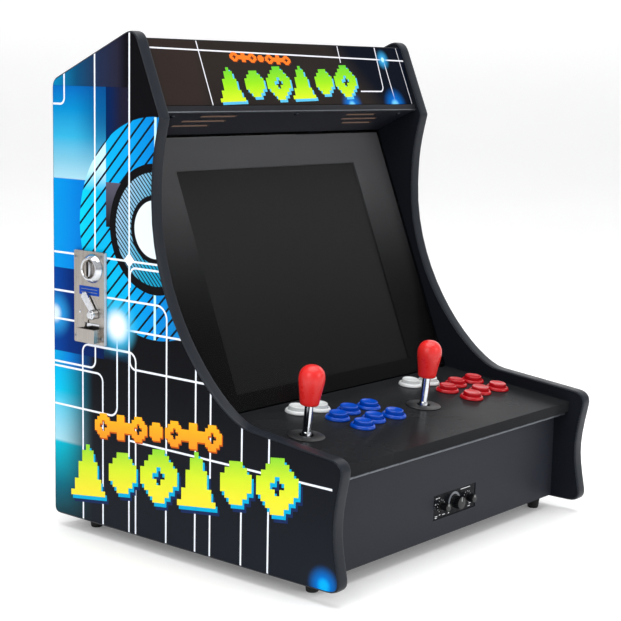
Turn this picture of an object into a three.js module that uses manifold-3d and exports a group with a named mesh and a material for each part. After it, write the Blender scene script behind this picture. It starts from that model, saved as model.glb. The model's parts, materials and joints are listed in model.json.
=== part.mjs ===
// Two-player bartop arcade cabinet: a board cabinet with a hinged control panel, a tilted glass-fronted
// monitor, a marquee box with speakers, a coin mechanism on the left side and a lockable rear service door.
// Millimetres. +X is the player's right, -Y the front (player's side), +Z up. The origin is the centre of the
// bounding box's footprint, level with the undersides of the feet.
import * as THREE from "three";
import { mergeVertices } from "three/addons/utils/BufferGeometryUtils.js";
import Module from "manifold-3d";

const wasm = await Module();
wasm.setup();

// ---------------------------------------------------------------- driving dimensions

const WIDTH = 560; // over the outer faces of the side panels
const HALF_DEPTH = 249.5; // front noses and rear edges of the side panels, moulding included
const SIDE_BOARD = 18;
const INNER_BOARD = 15;
const THIN_BOARD = 12;
const GAP = 0.3; // between pieces that touch
const MOULDING = 2.5; // how far the T-moulding stands off the board edge
const FOOT_CLEARANCE = 17; // from the surface up to the side panels' lower edge
const INSIDE = WIDTH / 2 - SIDE_BOARD - GAP; // half the width of every cross board

const TOP_SLOPE = rad(23.7); // the sloping lid, down to the rear
const PANEL_SLOPE = rad(5.8); // control panel, down to the front
const GLASS_SLOPE = rad(68.1); // monitor glass, up from the horizontal

// Side outline landmarks, [y, z] above the side panels' lower edge.
const APEX = [94.3, 650.5];
const MARQUEE_NOSE = [47.2, 539];
const THROAT = [60.8, 435.2]; // deepest point of the hollow front edge
const ARM_START = [-104.5, 173.7]; // where the hollow edge runs out into the arm
const ARM_SLOPE = rad(5.9);

// Cross boards, [y, z] of the two ends of the face that shows.
const LID_RECESS = 12.4; // lid surface below the top of the side outline
const MARQUEE_FACE = [[63, 553.9], [89.6, 635.5]];
const SPEAKER_FACE = [[60.5, 545.1], [128, 513.2]];
const SPEAKER_BOARD = 9;
const GLASS_FOOT = [-11.6, 166.6];
const GLASS_LENGTH = 373;
const PANEL_FRONT = [-227.5, 143.7]; // front top edge of the control panel
const PANEL_DEPTH = 215;
const FRONT_FACE_Y = -203;
const FRONT_PANEL_TOP = 126.2;
const REAR_FACE_Y = 243.5;
const REAR_PANEL_TOP = 558;
const FLOOR_Z = MOULDING; // underside of the base panel

// Controls, on the control panel: x across it, y back from its front edge.
const PLAYER_PITCH = 246;
const STICK_LEFT = [-194, 105];
const BUTTONS = {
  front_1: [94, 90],
  front_2: [129, 100],
  front_3: [169, 97],
  rear_1: [93, 131],
  rear_2: [130, 142.5],
  rear_3: [170, 140.5],
  start: [69, 179],
  select: [103, 172],
};
const BUTTON_HOLE = 14.3; // radius
const BUTTON_RADIUS = 12;
const BUTTON_TOP = 9.5; // plunger rim above the panel
const STICK_HOLE = 16;
const STICK_PIVOT_Z = -8;
const BAT_FOOT = 40;
const BAT_TOP = 91.3;

// Coin mechanism, on the outside of the left side panel.
const COIN_CENTRE = [172.7, 303.9];
const COIN_PLATE = [57, 121, 5];
const COIN_CUP_PROUD = 17; // furthest part of the mechanism from the side panel
const COIN_CUTOUT = [49, 108];

// Amplifier panel, in the front panel: x, z of its centre, and its cut-out.
const AMP_CENTRE = [18, 43];
const AMP_CUTOUT = [96, 33];
const KNOB_PITCH = 30;

// Rear door.
const DOOR_HALF_WIDTH = 200;
const DOOR_Z = [160, 500];
const DOOR_GAP = 3;
const LOCK_X = -180;

// ---------------------------------------------------------------- helpers

function rad(degrees) {
  return (degrees * Math.PI) / 180;
}

function finish(color, roughness, metalness = 0) {
  return new THREE.MeshStandardMaterial({ color, roughness, metalness });
}

function toSolid(geometry) {
  const bare = geometry.clone();
  bare.deleteAttribute("normal");
  bare.deleteAttribute("uv");
  const merged = mergeVertices(bare, 1e-4);
  return new wasm.Manifold(
    new wasm.Mesh({
      numProp: 3,
      vertProperties: merged.attributes.position.array,
      triVerts: new Uint32Array(merged.index.array),
    }),
  );
}

function toGeometry(solid) {
  const mesh = solid.getMesh();
  const geometry = new THREE.BufferGeometry();
  geometry.setAttribute("position", new THREE.BufferAttribute(mesh.vertProperties, 3));
  geometry.setIndex(new THREE.BufferAttribute(mesh.triVerts, 1));
  geometry.computeVertexNormals();
  return geometry;
}

function cut(geometry, ...tools) {
  return toGeometry(tools.reduce((solid, tool) => solid.subtract(toSolid(tool)), toSolid(geometry)));
}

function join(...geometries) {
  return toGeometry(geometries.map(toSolid).reduce((a, b) => a.add(b)));
}

// A box from its low corner to its high corner.
function box(low, high) {
  const size = high.map((value, i) => value - low[i]);
  const middle = high.map((value, i) => (value + low[i]) / 2);
  return new THREE.BoxGeometry(...size).translate(...middle);
}

// A solid of revolution about Z; the profile is [radius, z] from the bottom of the axis to the top.
function turned(profile, segments = 24) {
  const points = profile.map(([radius, z]) => new THREE.Vector2(radius, z));
  return new THREE.LatheGeometry(points, segments).rotateX(Math.PI / 2);
}

function rod(radius, z0, z1, segments = 20) {
  return turned([[0, z0], [radius, z0], [radius, z1], [0, z1]], segments);
}

// An outline in the Y-Z plane, extruded along X from x0 to x1.
function prismAlongX(outline, x0, x1, bevel = {}) {
  const { thickness = 0, size = 0, segments = 0 } = bevel;
  const geometry = new THREE.ExtrudeGeometry(new THREE.Shape(outline), {
    depth: x1 - x0 - 2 * thickness,
    bevelEnabled: segments > 0,
    bevelThickness: thickness,
    bevelSize: size,
    bevelOffset: -size,
    bevelSegments: segments,
  });
  const yzx = new THREE.Matrix4().makeBasis(
    new THREE.Vector3(0, 1, 0),
    new THREE.Vector3(0, 0, 1),
    new THREE.Vector3(1, 0, 0),
  );
  return geometry.applyMatrix4(yzx).translate(x0 + thickness, 0, 0);
}

function points(pairs) {
  return pairs.map(([a, b]) => new THREE.Vector2(a, b));
}

// The section of a flat board whose visible face runs from start to end, with its thickness to the left.
function boardSection([start, end], thickness) {
  const along = new THREE.Vector2(end[0] - start[0], end[1] - start[1]).normalize();
  const back = new THREE.Vector2(-along.y, along.x).multiplyScalar(thickness);
  const [a, b] = points([start, end]);
  return [a, b, b.clone().add(back), a.clone().add(back)];
}

// Moves each point of a closed outline outwards by the given distance (inwards if negative).
function offsetOutline(outline, distance) {
  const count = outline.length;
  return outline.map((point, i) => {
    const before = outline[(i + count - 1) % count];
    const after = outline[(i + 1) % count];
    const into = point.clone().sub(before).normalize();
    const out = after.clone().sub(point).normalize();
    const normal = new THREE.Vector2(into.y + out.y, -into.x - out.x).normalize();
    const mitre = distance / Math.max(normal.dot(new THREE.Vector2(out.y, -out.x)), 0.5);
    return point.clone().addScaledVector(normal, mitre);
  });
}

function roundedRectangle(width, height, radius) {
  const [x, y] = [width / 2, height / 2];
  const shape = new THREE.Shape();
  shape.moveTo(-x + radius, -y);
  shape.absarc(x - radius, -y + radius, radius, -Math.PI / 2, 0);
  shape.absarc(x - radius, y - radius, radius, 0, Math.PI / 2);
  shape.absarc(-x + radius, y - radius, radius, Math.PI / 2, Math.PI);
  shape.absarc(-x + radius, -y + radius, radius, Math.PI, 1.5 * Math.PI);
  return shape;
}

function flatPlate(shape, z0, z1) {
  const options = { depth: z1 - z0, bevelEnabled: false, curveSegments: 3 };
  return new THREE.ExtrudeGeometry(shape, options).translate(0, 0, z0);
}

function add(parent, name, geometry, material) {
  const mesh = new THREE.Mesh(geometry, material);
  mesh.name = name;
  parent.add(mesh);
  return mesh;
}

function groupAt(parent, x, y, z) {
  const group = new THREE.Group();
  group.position.set(x, y, z);
  parent.add(group);
  return group;
}

// ---------------------------------------------------------------- materials

const BOARD = finish(0x17181b, 0.55);
const ARTWORK = finish(0x0d4f9e, 0.35);
const EDGE = finish(0x30363e, 0.45);
const LID = finish(0x1b1c20, 0.6);
const GLASS = finish(0x2c2d2f, 0.08);
const BEZEL = finish(0x141414, 0.7);
const SCREEN = finish(0x202122, 0.3);
const MARQUEE = finish(0x3a5f2a, 0.25);
const SPEAKER = finish(0x1a1a1a, 0.7);
const CHROME = finish(0xd0d2d4, 0.18, 1);
const STEEL = finish(0x9b958c, 0.38, 1);
const BLACK_METAL = finish(0x26292d, 0.4, 1);
const BLACK_PLASTIC = finish(0x121316, 0.4);
const RUBBER = finish(0x0c0c0d, 0.85);
const RED = finish(0xd9252b, 0.25);
const BLUE = finish(0x0540c8, 0.25);
const WHITE = finish(0xe9eceb, 0.25);
const CIRCUIT = finish(0x0e4a2c, 0.6);

// ---------------------------------------------------------------- side outline

function sideOutline() {
  const along = (point, angle, distance) =>
    new THREE.Vector2(point[0] + distance * Math.cos(angle), point[1] + distance * Math.sin(angle));
  const vector = (y, z) => new THREE.Vector2(y, z);
  const lidAngle = Math.PI - TOP_SLOPE;
  const rearTop = [HALF_DEPTH, APEX[1] - (HALF_DEPTH - APEX[0]) * Math.tan(TOP_SLOPE)];
  const marqueeAngle = Math.atan2(APEX[1] - MARQUEE_NOSE[1], APEX[0] - MARQUEE_NOSE[0]);
  const underMarquee = rad(90 + 14.2);
  const armDown = ARM_SLOPE + Math.PI;

  const rearCorner = 10;
  const apexCorner = 20;
  const noseCorner = 2.5;
  const curves = [
    // rear upper corner and the apex
    [vector(HALF_DEPTH, rearTop[1] - rearCorner), vector(...rearTop), along(rearTop, lidAngle, rearCorner)],
    [along(APEX, lidAngle, -apexCorner), vector(...APEX), along(APEX, marqueeAngle, -apexCorner)],
    // nose below the marquee
    [
      along(MARQUEE_NOSE, marqueeAngle, noseCorner),
      vector(...MARQUEE_NOSE),
      along(MARQUEE_NOSE, underMarquee, -noseCorner),
    ],
    // throat, in two stretches, running out into the arm
    [
      along(MARQUEE_NOSE, underMarquee, -noseCorner),
      along(MARQUEE_NOSE, underMarquee, -44),
      vector(THROAT[0], THROAT[1] + 44.5),
      vector(...THROAT),
    ],
    [
      vector(...THROAT),
      vector(THROAT[0], THROAT[1] - 146.5),
      along(ARM_START, ARM_SLOPE, 45.5),
      vector(...ARM_START),
    ],
    // rounded end of the arm
    [along(ARM_START, armDown, 128), along(ARM_START, armDown, 149), vector(-249.3, 139.5)],
    // hollow front edge down to the toe
    [vector(-249.3, 139.5), vector(-236.4, 80), vector(-237.5, 69.5), vector(-248.2, 18)],
    // toe and rear lower corner
    [vector(-248.2, 18), vector(-251.5, 0), vector(-230, 0)],
    [vector(HALF_DEPTH - rearCorner, 0), vector(HALF_DEPTH, 0), vector(HALF_DEPTH, rearCorner)],
  ];
  const steps = [4, 8, 2, 6, 16, 7, 7, 6, 4];
  const outline = [];
  curves.forEach((control, i) => {
    const Curve = control.length === 3 ? THREE.QuadraticBezierCurve : THREE.CubicBezierCurve;
    for (const point of new Curve(...control).getPoints(steps[i])) {
      const last = outline[outline.length - 1];
      if (!last || last.distanceTo(point) > 0.01) outline.push(point);
    }
  });
  return outline;
}

const OUTLINE = sideOutline();
const BOARD_OUTLINE = offsetOutline(OUTLINE, -MOULDING);

// ---------------------------------------------------------------- cabinet shell

const part = new THREE.Group();
// The coin mechanism stands off the left side, so the cabinet sits half of that to the right.
const cabinet = groupAt(part, COIN_CUP_PROUD / 2, 0, FOOT_CLEARANCE);

function sidePanel(side) {
  const outer = (side * WIDTH) / 2;
  const inner = side * (WIDTH / 2 - SIDE_BOARD);
  const [x0, x1] = [Math.min(outer, inner), Math.max(outer, inner)];
  const board = prismAlongX(BOARD_OUTLINE, x0, x1);
  const crown = { thickness: 4, size: 2, segments: 2 };
  const moulding = cut(
    prismAlongX(OUTLINE, x0, x1, crown),
    prismAlongX(offsetOutline(BOARD_OUTLINE, GAP), x0 - 1, x1 + 1),
  );
  return { board, moulding };
}

const left = sidePanel(-1);
const right = sidePanel(1);
const coinOpening = box(
  [-WIDTH / 2 - 1, COIN_CENTRE[0] - COIN_CUTOUT[0] / 2, COIN_CENTRE[1] - COIN_CUTOUT[1] / 2],
  [-WIDTH / 2 + SIDE_BOARD + 1, COIN_CENTRE[0] + COIN_CUTOUT[0] / 2, COIN_CENTRE[1] + COIN_CUTOUT[1] / 2],
);
add(cabinet, "side_panel_left", cut(left.board, coinOpening), ARTWORK);
add(cabinet, "side_panel_right", right.board, ARTWORK);
add(cabinet, "t_moulding_left", left.moulding, EDGE);
add(cabinet, "t_moulding_right", right.moulding, EDGE);

const REAR_INNER_Y = REAR_FACE_Y - THIN_BOARD;
const FRONT_INNER_Y = FRONT_FACE_Y + INNER_BOARD;
const FLOOR_TOP = FLOOR_Z + INNER_BOARD;
add(
  cabinet,
  "base_panel",
  box([-INSIDE, FRONT_INNER_Y + GAP, FLOOR_Z], [INSIDE, REAR_INNER_Y - GAP, FLOOR_TOP]),
  BOARD,
);

// The lid runs from behind the marquee to the rear face, parallel to the side outline's top.
function lidPoint(y) {
  const drop = LID_RECESS / Math.cos(TOP_SLOPE);
  return [y, APEX[1] - (y - APEX[0]) * Math.tan(TOP_SLOPE) - drop];
}
const lidSection = boardSection([lidPoint(REAR_FACE_Y), lidPoint(94.5)], THIN_BOARD);
add(cabinet, "top_panel", prismAlongX(lidSection, -INSIDE, INSIDE), LID);

const marqueeSection = boardSection([MARQUEE_FACE[1], MARQUEE_FACE[0]], 3);
add(cabinet, "marquee_panel", prismAlongX(marqueeSection, -INSIDE, INSIDE), MARQUEE);

// ---------------------------------------------------------------- speaker panel

const speakerRun = new THREE.Vector2(
  SPEAKER_FACE[1][0] - SPEAKER_FACE[0][0],
  SPEAKER_FACE[1][1] - SPEAKER_FACE[0][1],
);
// In this group x runs across the cabinet, y back along the panel's underside, and z into the marquee box.
const speakerGroup = groupAt(cabinet, 0, ...SPEAKER_FACE[0]);
speakerGroup.rotation.x = speakerRun.angle();
const SLOT_ROWS = [
  { y: 14, from: 116, to: 182 },
  { y: 29, from: 122, to: 203 },
  { y: 44, from: 140, to: 207 },
];
const SLOT_HEIGHT = 5;
const SPEAKER_X = 162;
const SPEAKER_Y = 33;
const slots = [-1, 1].flatMap((side) =>
  SLOT_ROWS.map(({ y, from, to }) => {
    const [x0, x1] = side < 0 ? [-to, -from] : [from, to];
    return box([x0, y - SLOT_HEIGHT / 2, -1], [x1, y + SLOT_HEIGHT / 2, SPEAKER_BOARD + 1]);
  }),
);
add(
  speakerGroup,
  "speaker_panel",
  cut(box([-INSIDE, 0, 0], [INSIDE, speakerRun.length(), SPEAKER_BOARD]), ...slots),
  BOARD,
);
// A round full-range driver: flange, cone basket and magnet.
const DRIVER_PROFILE = [[0, 8], [28, 0], [31, 0], [31, 3], [27, 4], [17, 19], [20, 19], [20, 30], [0, 30]];
const driver = turned(DRIVER_PROFILE, 20);
for (const [name, x] of [["speaker_left", -SPEAKER_X], ["speaker_right", SPEAKER_X]]) {
  const mesh = add(speakerGroup, name, driver, SPEAKER);
  mesh.position.set(x, SPEAKER_Y, SPEAKER_BOARD + GAP);
}

// ---------------------------------------------------------------- monitor

// In this group y runs up along the glass and z towards the player.
const screenGroup = groupAt(cabinet, 0, ...GLASS_FOOT);
screenGroup.rotation.x = GLASS_SLOPE;
const GLASS_THICKNESS = 4;
const BEZEL_THICKNESS = 3;
const SCREEN_OPENING = [372, 303];
const SCREEN_CENTRE_Y = 174;
const bezelBack = -GLASS_THICKNESS - GAP - BEZEL_THICKNESS;
add(
  screenGroup,
  "monitor_glass",
  box([-INSIDE, 0, -GLASS_THICKNESS], [INSIDE, GLASS_LENGTH, 0]),
  GLASS,
);
const [halfOpen, highOpen] = SCREEN_OPENING.map((value) => value / 2);
add(
  screenGroup,
  "screen_bezel",
  cut(
    box([-INSIDE, 0, bezelBack], [INSIDE, GLASS_LENGTH - 2, bezelBack + BEZEL_THICKNESS]),
    box(
      [-halfOpen, SCREEN_CENTRE_Y - highOpen, bezelBack - 1],
      [halfOpen, SCREEN_CENTRE_Y + highOpen, 0],
    ),
  ),
  BEZEL,
);
const MONITOR_CASE = [408, 340, 22];
const MONITOR_HUMP = [260, 200, 48];
const monitorFront = bezelBack - GAP;
function monitorBlock([width, height, depth]) {
  return box(
    [-width / 2, SCREEN_CENTRE_Y - height / 2, monitorFront - depth],
    [width / 2, SCREEN_CENTRE_Y + height / 2, monitorFront],
  );
}
add(screenGroup, "lcd_monitor", join(monitorBlock(MONITOR_CASE), monitorBlock(MONITOR_HUMP)), SCREEN);

// ---------------------------------------------------------------- front panel and amplifier

const ampGroup = groupAt(cabinet, AMP_CENTRE[0], FRONT_FACE_Y, AMP_CENTRE[1]);
// In this group x runs across, y up and z out towards the player.
ampGroup.rotation.x = Math.PI / 2;
const [ampHalfWidth, ampHalfHeight] = AMP_CUTOUT.map((value) => value / 2);
add(
  cabinet,
  "front_panel",
  cut(
    box([-INSIDE, FRONT_FACE_Y, FLOOR_Z], [INSIDE, FRONT_INNER_Y, FRONT_PANEL_TOP]),
    box(
      [AMP_CENTRE[0] - ampHalfWidth, FRONT_FACE_Y - 1, AMP_CENTRE[1] - ampHalfHeight],
      [AMP_CENTRE[0] + ampHalfWidth, FRONT_INNER_Y + 1, AMP_CENTRE[1] + ampHalfHeight],
    ),
  ),
  BOARD,
);
const KNOBS = {
  bass_knob: { x: -KNOB_PITCH, radius: 5.5 },
  volume_knob: { x: 0, radius: 8.5 },
  treble_knob: { x: KNOB_PITCH, radius: 5.5 },
};
const KNOB_SPINDLE = 3;
const AMP_FACE_Z = -1; // the faceplate sits just inside the cut-out
const AMP_PLATE = 3;
const AMP_BODY_DEPTH = 34;
const spindleHoles = Object.values(KNOBS).map(({ x }) =>
  rod(KNOB_SPINDLE + 0.5, AMP_FACE_Z - AMP_PLATE - 3, AMP_FACE_Z + 1).translate(x, 0, 0),
);
add(
  ampGroup,
  "amplifier_panel",
  cut(
    join(
      box(
        [-ampHalfWidth + GAP, -ampHalfHeight + GAP, AMP_FACE_Z - AMP_PLATE],
        [ampHalfWidth - GAP, ampHalfHeight - GAP, AMP_FACE_Z],
      ),
      box(
        [-ampHalfWidth + 4, -ampHalfHeight + 3, -AMP_BODY_DEPTH],
        [ampHalfWidth - 4, ampHalfHeight - 3, AMP_FACE_Z - AMP_PLATE + 0.1],
      ),
    ),
    ...spindleHoles,
  ),
  BLACK_METAL,
);
for (const [name, { x, radius }] of Object.entries(KNOBS)) {
  const base = AMP_FACE_Z + 0.5;
  const knob = turned([
    [0, base - AMP_PLATE],
    [KNOB_SPINDLE, base - AMP_PLATE],
    [KNOB_SPINDLE, base],
    [radius, base],
    [radius * 0.92, base + 12],
    [radius * 0.8, base + 13],
    [0, base + 13],
  ], 16);
  add(ampGroup, name, knob, BLACK_PLASTIC).position.x = x;
}

// ---------------------------------------------------------------- control panel

// In this group x runs across, y back along the panel's surface from its front edge, and z up off it.
const panelGroup = groupAt(cabinet, 0, ...PANEL_FRONT);
panelGroup.rotation.x = PANEL_SLOPE;

const PLAYERS = [
  { player: "left", origin: [STICK_LEFT[0], 0], colour: BLUE },
  { player: "right", origin: [STICK_LEFT[0] + PLAYER_PITCH, 0], colour: RED },
];
const PANEL_TOOLS = [];
for (const { player, origin, colour } of PLAYERS) {
  const stickGroup = groupAt(panelGroup, origin[0], STICK_LEFT[1], 0);
  addJoystick(stickGroup, player);
  PANEL_TOOLS.push(
    rod(STICK_HOLE, -INNER_BOARD - 1, 1, 16).translate(origin[0], STICK_LEFT[1], 0),
  );
  for (const [name, [x, y]] of Object.entries(BUTTONS)) {
    const isWhite = name === "start" || name === "select";
    const plunger = add(panelGroup, "button_" + player + "_" + name, plungerShape(), isWhite ? WHITE : colour);
    plunger.position.set(origin[0] + x, y, 0);
    PANEL_TOOLS.push(
      rod(BUTTON_HOLE, -INNER_BOARD - 1, 1, 16).translate(origin[0] + x, y, 0),
    );
  }
}
add(
  panelGroup,
  "control_panel",
  cut(box([-INSIDE, 0, -INNER_BOARD], [INSIDE, PANEL_DEPTH, 0]), ...PANEL_TOOLS),
  BOARD,
);

// A push button's plunger: a shallow dish on top, a skirt and a stem that reaches the microswitch.
function plungerShape() {
  const r = BUTTON_RADIUS;
  return turned(
    [
      [0, -26],
      [4, -26],
      [4, -10],
      [r, -10],
      [r, BUTTON_TOP - 0.8],
      [r - 1.2, BUTTON_TOP],
      [0, BUTTON_TOP - 1.8],
    ],
    14,
  );
}

function addJoystick(group, player) {
  const housing = cut(
    box([-31, -46, -INNER_BOARD - GAP - 22], [31, 46, -INNER_BOARD - GAP]),
    rod(18, -INNER_BOARD - 30, -INNER_BOARD + 1),
  );
  add(group, "joystick_housing_" + player, housing, BLACK_PLASTIC);
  const pivot = groupAt(group, 0, 0, STICK_PIVOT_Z);
  const ring = cut(rod(14.5, -2.5, 2.5), rod(8.4, -3, 3));
  add(pivot, "joystick_ring_" + player, ring, STEEL);
  const stud = 3.5;
  const batFoot = BAT_FOOT - STICK_PIVOT_Z;
  const studTop = batFoot + 18;
  const shaft = turned([
    [0, -30],
    [4.5, -30],
    [4.5, -6],
    [7.6, -1.5],
    [7.6, 1.5],
    [6.2, 5],
    [6.2, 12],
    [5.4, batFoot - 0.4],
    [stud, batFoot - 0.4],
    [stud, studTop],
    [0, studTop],
  ], 16);
  add(pivot, "joystick_shaft_" + player, shaft, CHROME);
  const top = BAT_TOP - STICK_PIVOT_Z;
  const bat = turned(
    [
      [0, studTop + GAP],
      [stud + GAP, studTop + GAP],
      [stud + GAP, batFoot],
      [10.5, batFoot],
      [12.2, batFoot + 2],
      [13.5, batFoot + 12],
      [15.2, batFoot + 22],
      [16.5, batFoot + 33],
      [15.8, batFoot + 40],
      [13.4, batFoot + 45.5],
      [8, top - 1.3],
      [0, top],
    ],
    20,
  );
  add(pivot, "joystick_bat_" + player, bat, RED);
}

// ---------------------------------------------------------------- control panel hinge

// A continuous hinge. Its barrel runs along the control panel's front lower edge, one leaf is under the control
// panel, and the other reaches back to the top edge of the front panel. Both groups below turn with the slope.
const HINGE_Y = 3.5;
const BARREL = 2.1;
const HINGE_Z = -INNER_BOARD - GAP - BARREL;
const LEAF = 0.8;
const PIN = 0.9;
const HINGE_HALF = 256;
const KNUCKLES = 17;
const KNUCKLE_GAP = 0.6;
const KNUCKLE_SIDES = 10;

// Knuckles of one leaf, about the origin, each with the tab that ties it to its leaf.
function knuckles(parity, tab) {
  const pitch = (2 * HINGE_HALF) / KNUCKLES;
  const made = [];
  for (let i = parity; i < KNUCKLES; i += 2) {
    const x0 = -HINGE_HALF + i * pitch + KNUCKLE_GAP / 2;
    const x1 = x0 + pitch - KNUCKLE_GAP;
    made.push(rod(BARREL, x0, x1, KNUCKLE_SIDES).rotateY(Math.PI / 2), tab(x0, x1));
  }
  return made;
}
const pinBore = rod(PIN + 0.3, -HINGE_HALF - 1, HINGE_HALF + 1, KNUCKLE_SIDES).rotateY(Math.PI / 2);

// One leaf with its knuckles, about the barrel's axis: side is 1 above the axis and -1 below it.
function hingeLeaf(side, parity, reach) {
  const outer = side * BARREL;
  const inner = side * (BARREL - LEAF);
  const [z0, z1] = [Math.min(outer, inner), Math.max(outer, inner)];
  return cut(
    join(
      box([-HINGE_HALF, BARREL + 0.4, z0], [HINGE_HALF, reach, z1]),
      ...knuckles(parity, (x0, x1) => box([x0, 0, z0], [x1, BARREL + 1, z1])),
    ),
    pinBore,
  );
}
const hingeGroup = groupAt(panelGroup, 0, HINGE_Y, HINGE_Z);
add(hingeGroup, "panel_hinge_moving_leaf", hingeLeaf(1, 1, 26), BLACK_METAL);
add(hingeGroup, "panel_hinge_fixed_leaf", hingeLeaf(-1, 0, 35), BLACK_METAL);
add(
  hingeGroup,
  "panel_hinge_pin",
  rod(PIN, -HINGE_HALF, HINGE_HALF, KNUCKLE_SIDES).rotateY(Math.PI / 2),
  STEEL,
);

// ---------------------------------------------------------------- rear panel, door and inlet

const doorOpening = box(
  [-DOOR_HALF_WIDTH - DOOR_GAP, REAR_INNER_Y - 1, DOOR_Z[0] - DOOR_GAP],
  [DOOR_HALF_WIDTH + DOOR_GAP, REAR_FACE_Y + 1, DOOR_Z[1] + DOOR_GAP],
);
const INLET_CENTRE = [190, 80];
const INLET_BODY = [30, 23];
const inletOpening = box(
  [INLET_CENTRE[0] - INLET_BODY[0] / 2 - GAP, REAR_INNER_Y - 1, INLET_CENTRE[1] - INLET_BODY[1] / 2 - GAP],
  [INLET_CENTRE[0] + INLET_BODY[0] / 2 + GAP, REAR_FACE_Y + 1, INLET_CENTRE[1] + INLET_BODY[1] / 2 + GAP],
);
add(
  cabinet,
  "rear_panel",
  cut(
    box([-INSIDE, REAR_INNER_Y, FLOOR_Z], [INSIDE, REAR_FACE_Y, REAR_PANEL_TOP]),
    doorOpening,
    inletOpening,
  ),
  BOARD,
);

// Two banks of vent slots in the door, above and below the lock.
const VENT_SLOTS = 6;
const VENT_PITCH = 18;
const VENT_HALF = 110;
const vents = [215, 375].flatMap((z) =>
  Array.from({ length: VENT_SLOTS }, (_, i) =>
    box(
      [-VENT_HALF, REAR_INNER_Y - 1, z + i * VENT_PITCH - 4],
      [VENT_HALF, REAR_FACE_Y + 1, z + i * VENT_PITCH + 4],
    ),
  ),
);
const LOCK_Z = (DOOR_Z[0] + DOOR_Z[1]) / 2;
const LOCK_BARREL = 9;
const lockHole = rod(LOCK_BARREL + 0.5, -REAR_FACE_Y - 1, -REAR_INNER_Y + 1)
  .rotateX(Math.PI / 2)
  .translate(LOCK_X, 0, LOCK_Z);
add(
  cabinet,
  "rear_door",
  cut(
    box([-DOOR_HALF_WIDTH, REAR_INNER_Y, DOOR_Z[0]], [DOOR_HALF_WIDTH, REAR_FACE_Y, DOOR_Z[1]]),
    ...vents,
    lockHole,
  ),
  BOARD,
);

// Cam lock: in this group z points out of the rear face. The cam stands upright when unlocked.
const lockGroup = groupAt(cabinet, LOCK_X, REAR_FACE_Y, LOCK_Z);
lockGroup.rotation.x = -Math.PI / 2;
const CAM = [6, 33, 2.5]; // half width, reach, thickness
const camBack = -THIN_BOARD - 5.5;
add(
  lockGroup,
  "door_lock",
  join(
    turned([
      [0, camBack],
      [7, camBack],
      [7, -THIN_BOARD - 1],
      [LOCK_BARREL, -THIN_BOARD - 1],
      [LOCK_BARREL, GAP],
      [11, GAP],
      [11, 2.5],
      [9.5, 3.5],
      [0, 3.5],
    ]),
    box([-CAM[0], -CAM[1], camBack], [CAM[0], 0, camBack + CAM[2]]),
  ),
  CHROME,
);

// Mains inlet: a flanged housing whose recess holds three flat contacts.
const inletGroup = groupAt(cabinet, INLET_CENTRE[0], REAR_FACE_Y, INLET_CENTRE[1]);
inletGroup.rotation.x = Math.PI / 2;
inletGroup.rotation.y = Math.PI;
const INLET_SOCKET = [24.5, 17];
const INLET_DEPTH = 22;
const contacts = [[-7, -2], [0, 3], [7, -2]].map(([x, y]) =>
  box([x - 1.2, y - 2.5, -INLET_DEPTH + 3], [x + 1.2, y + 2.5, -3]),
);
add(
  inletGroup,
  "power_inlet",
  join(
    cut(
      join(
        flatPlate(roundedRectangle(50, 27, 5), GAP, 2.5),
        box(
          [-INLET_BODY[0] / 2, -INLET_BODY[1] / 2, -INLET_DEPTH],
          [INLET_BODY[0] / 2, INLET_BODY[1] / 2, 1],
        ),
      ),
      flatPlate(roundedRectangle(...INLET_SOCKET, 3), -INLET_DEPTH + 4, 4),
    ),
    ...contacts,
  ),
  BLACK_PLASTIC,
);

// ---------------------------------------------------------------- electronics on the base

const BOARD_STANDOFF = 8;
const GAME_BOARD = [200, 130, 2];
const boardGroup = groupAt(cabinet, -40, 90, FLOOR_TOP + GAP);
const chips = [[-60, 20, 22], [10, -10, 16], [60, 25, 12]].map(([x, y, half]) =>
  box(
    [x - half, y - half, BOARD_STANDOFF + GAME_BOARD[2] - 0.1],
    [x + half, y + half, BOARD_STANDOFF + GAME_BOARD[2] + 4],
  ),
);
const standoffs = [[-1, -1], [1, -1], [1, 1], [-1, 1]].map(([sx, sy]) =>
  rod(4, 0, BOARD_STANDOFF + 1, 10).translate(sx * 92, sy * 57, 0),
);
add(
  boardGroup,
  "game_board",
  join(
    box(
      [-GAME_BOARD[0] / 2, -GAME_BOARD[1] / 2, BOARD_STANDOFF],
      [GAME_BOARD[0] / 2, GAME_BOARD[1] / 2, BOARD_STANDOFF + GAME_BOARD[2]],
    ),
    ...chips,
    ...standoffs,
  ),
  CIRCUIT,
);
const SUPPLY = [100, 160, 42];
const supplyGroup = groupAt(cabinet, 185, 100, FLOOR_TOP + GAP);
const supplyFins = Array.from({ length: 7 }, (_, i) =>
  box([-SUPPLY[0] / 2 + 12, -66 + i * 20, SUPPLY[2] - 3], [SUPPLY[0] / 2 - 12, -58 + i * 20, SUPPLY[2] + 1]),
);
add(
  supplyGroup,
  "power_supply",
  cut(
    box([-SUPPLY[0] / 2, -SUPPLY[1] / 2, 0], [SUPPLY[0] / 2, SUPPLY[1] / 2, SUPPLY[2]]),
    ...supplyFins,
  ),
  STEEL,
);

// ---------------------------------------------------------------- coin mechanism

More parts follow.
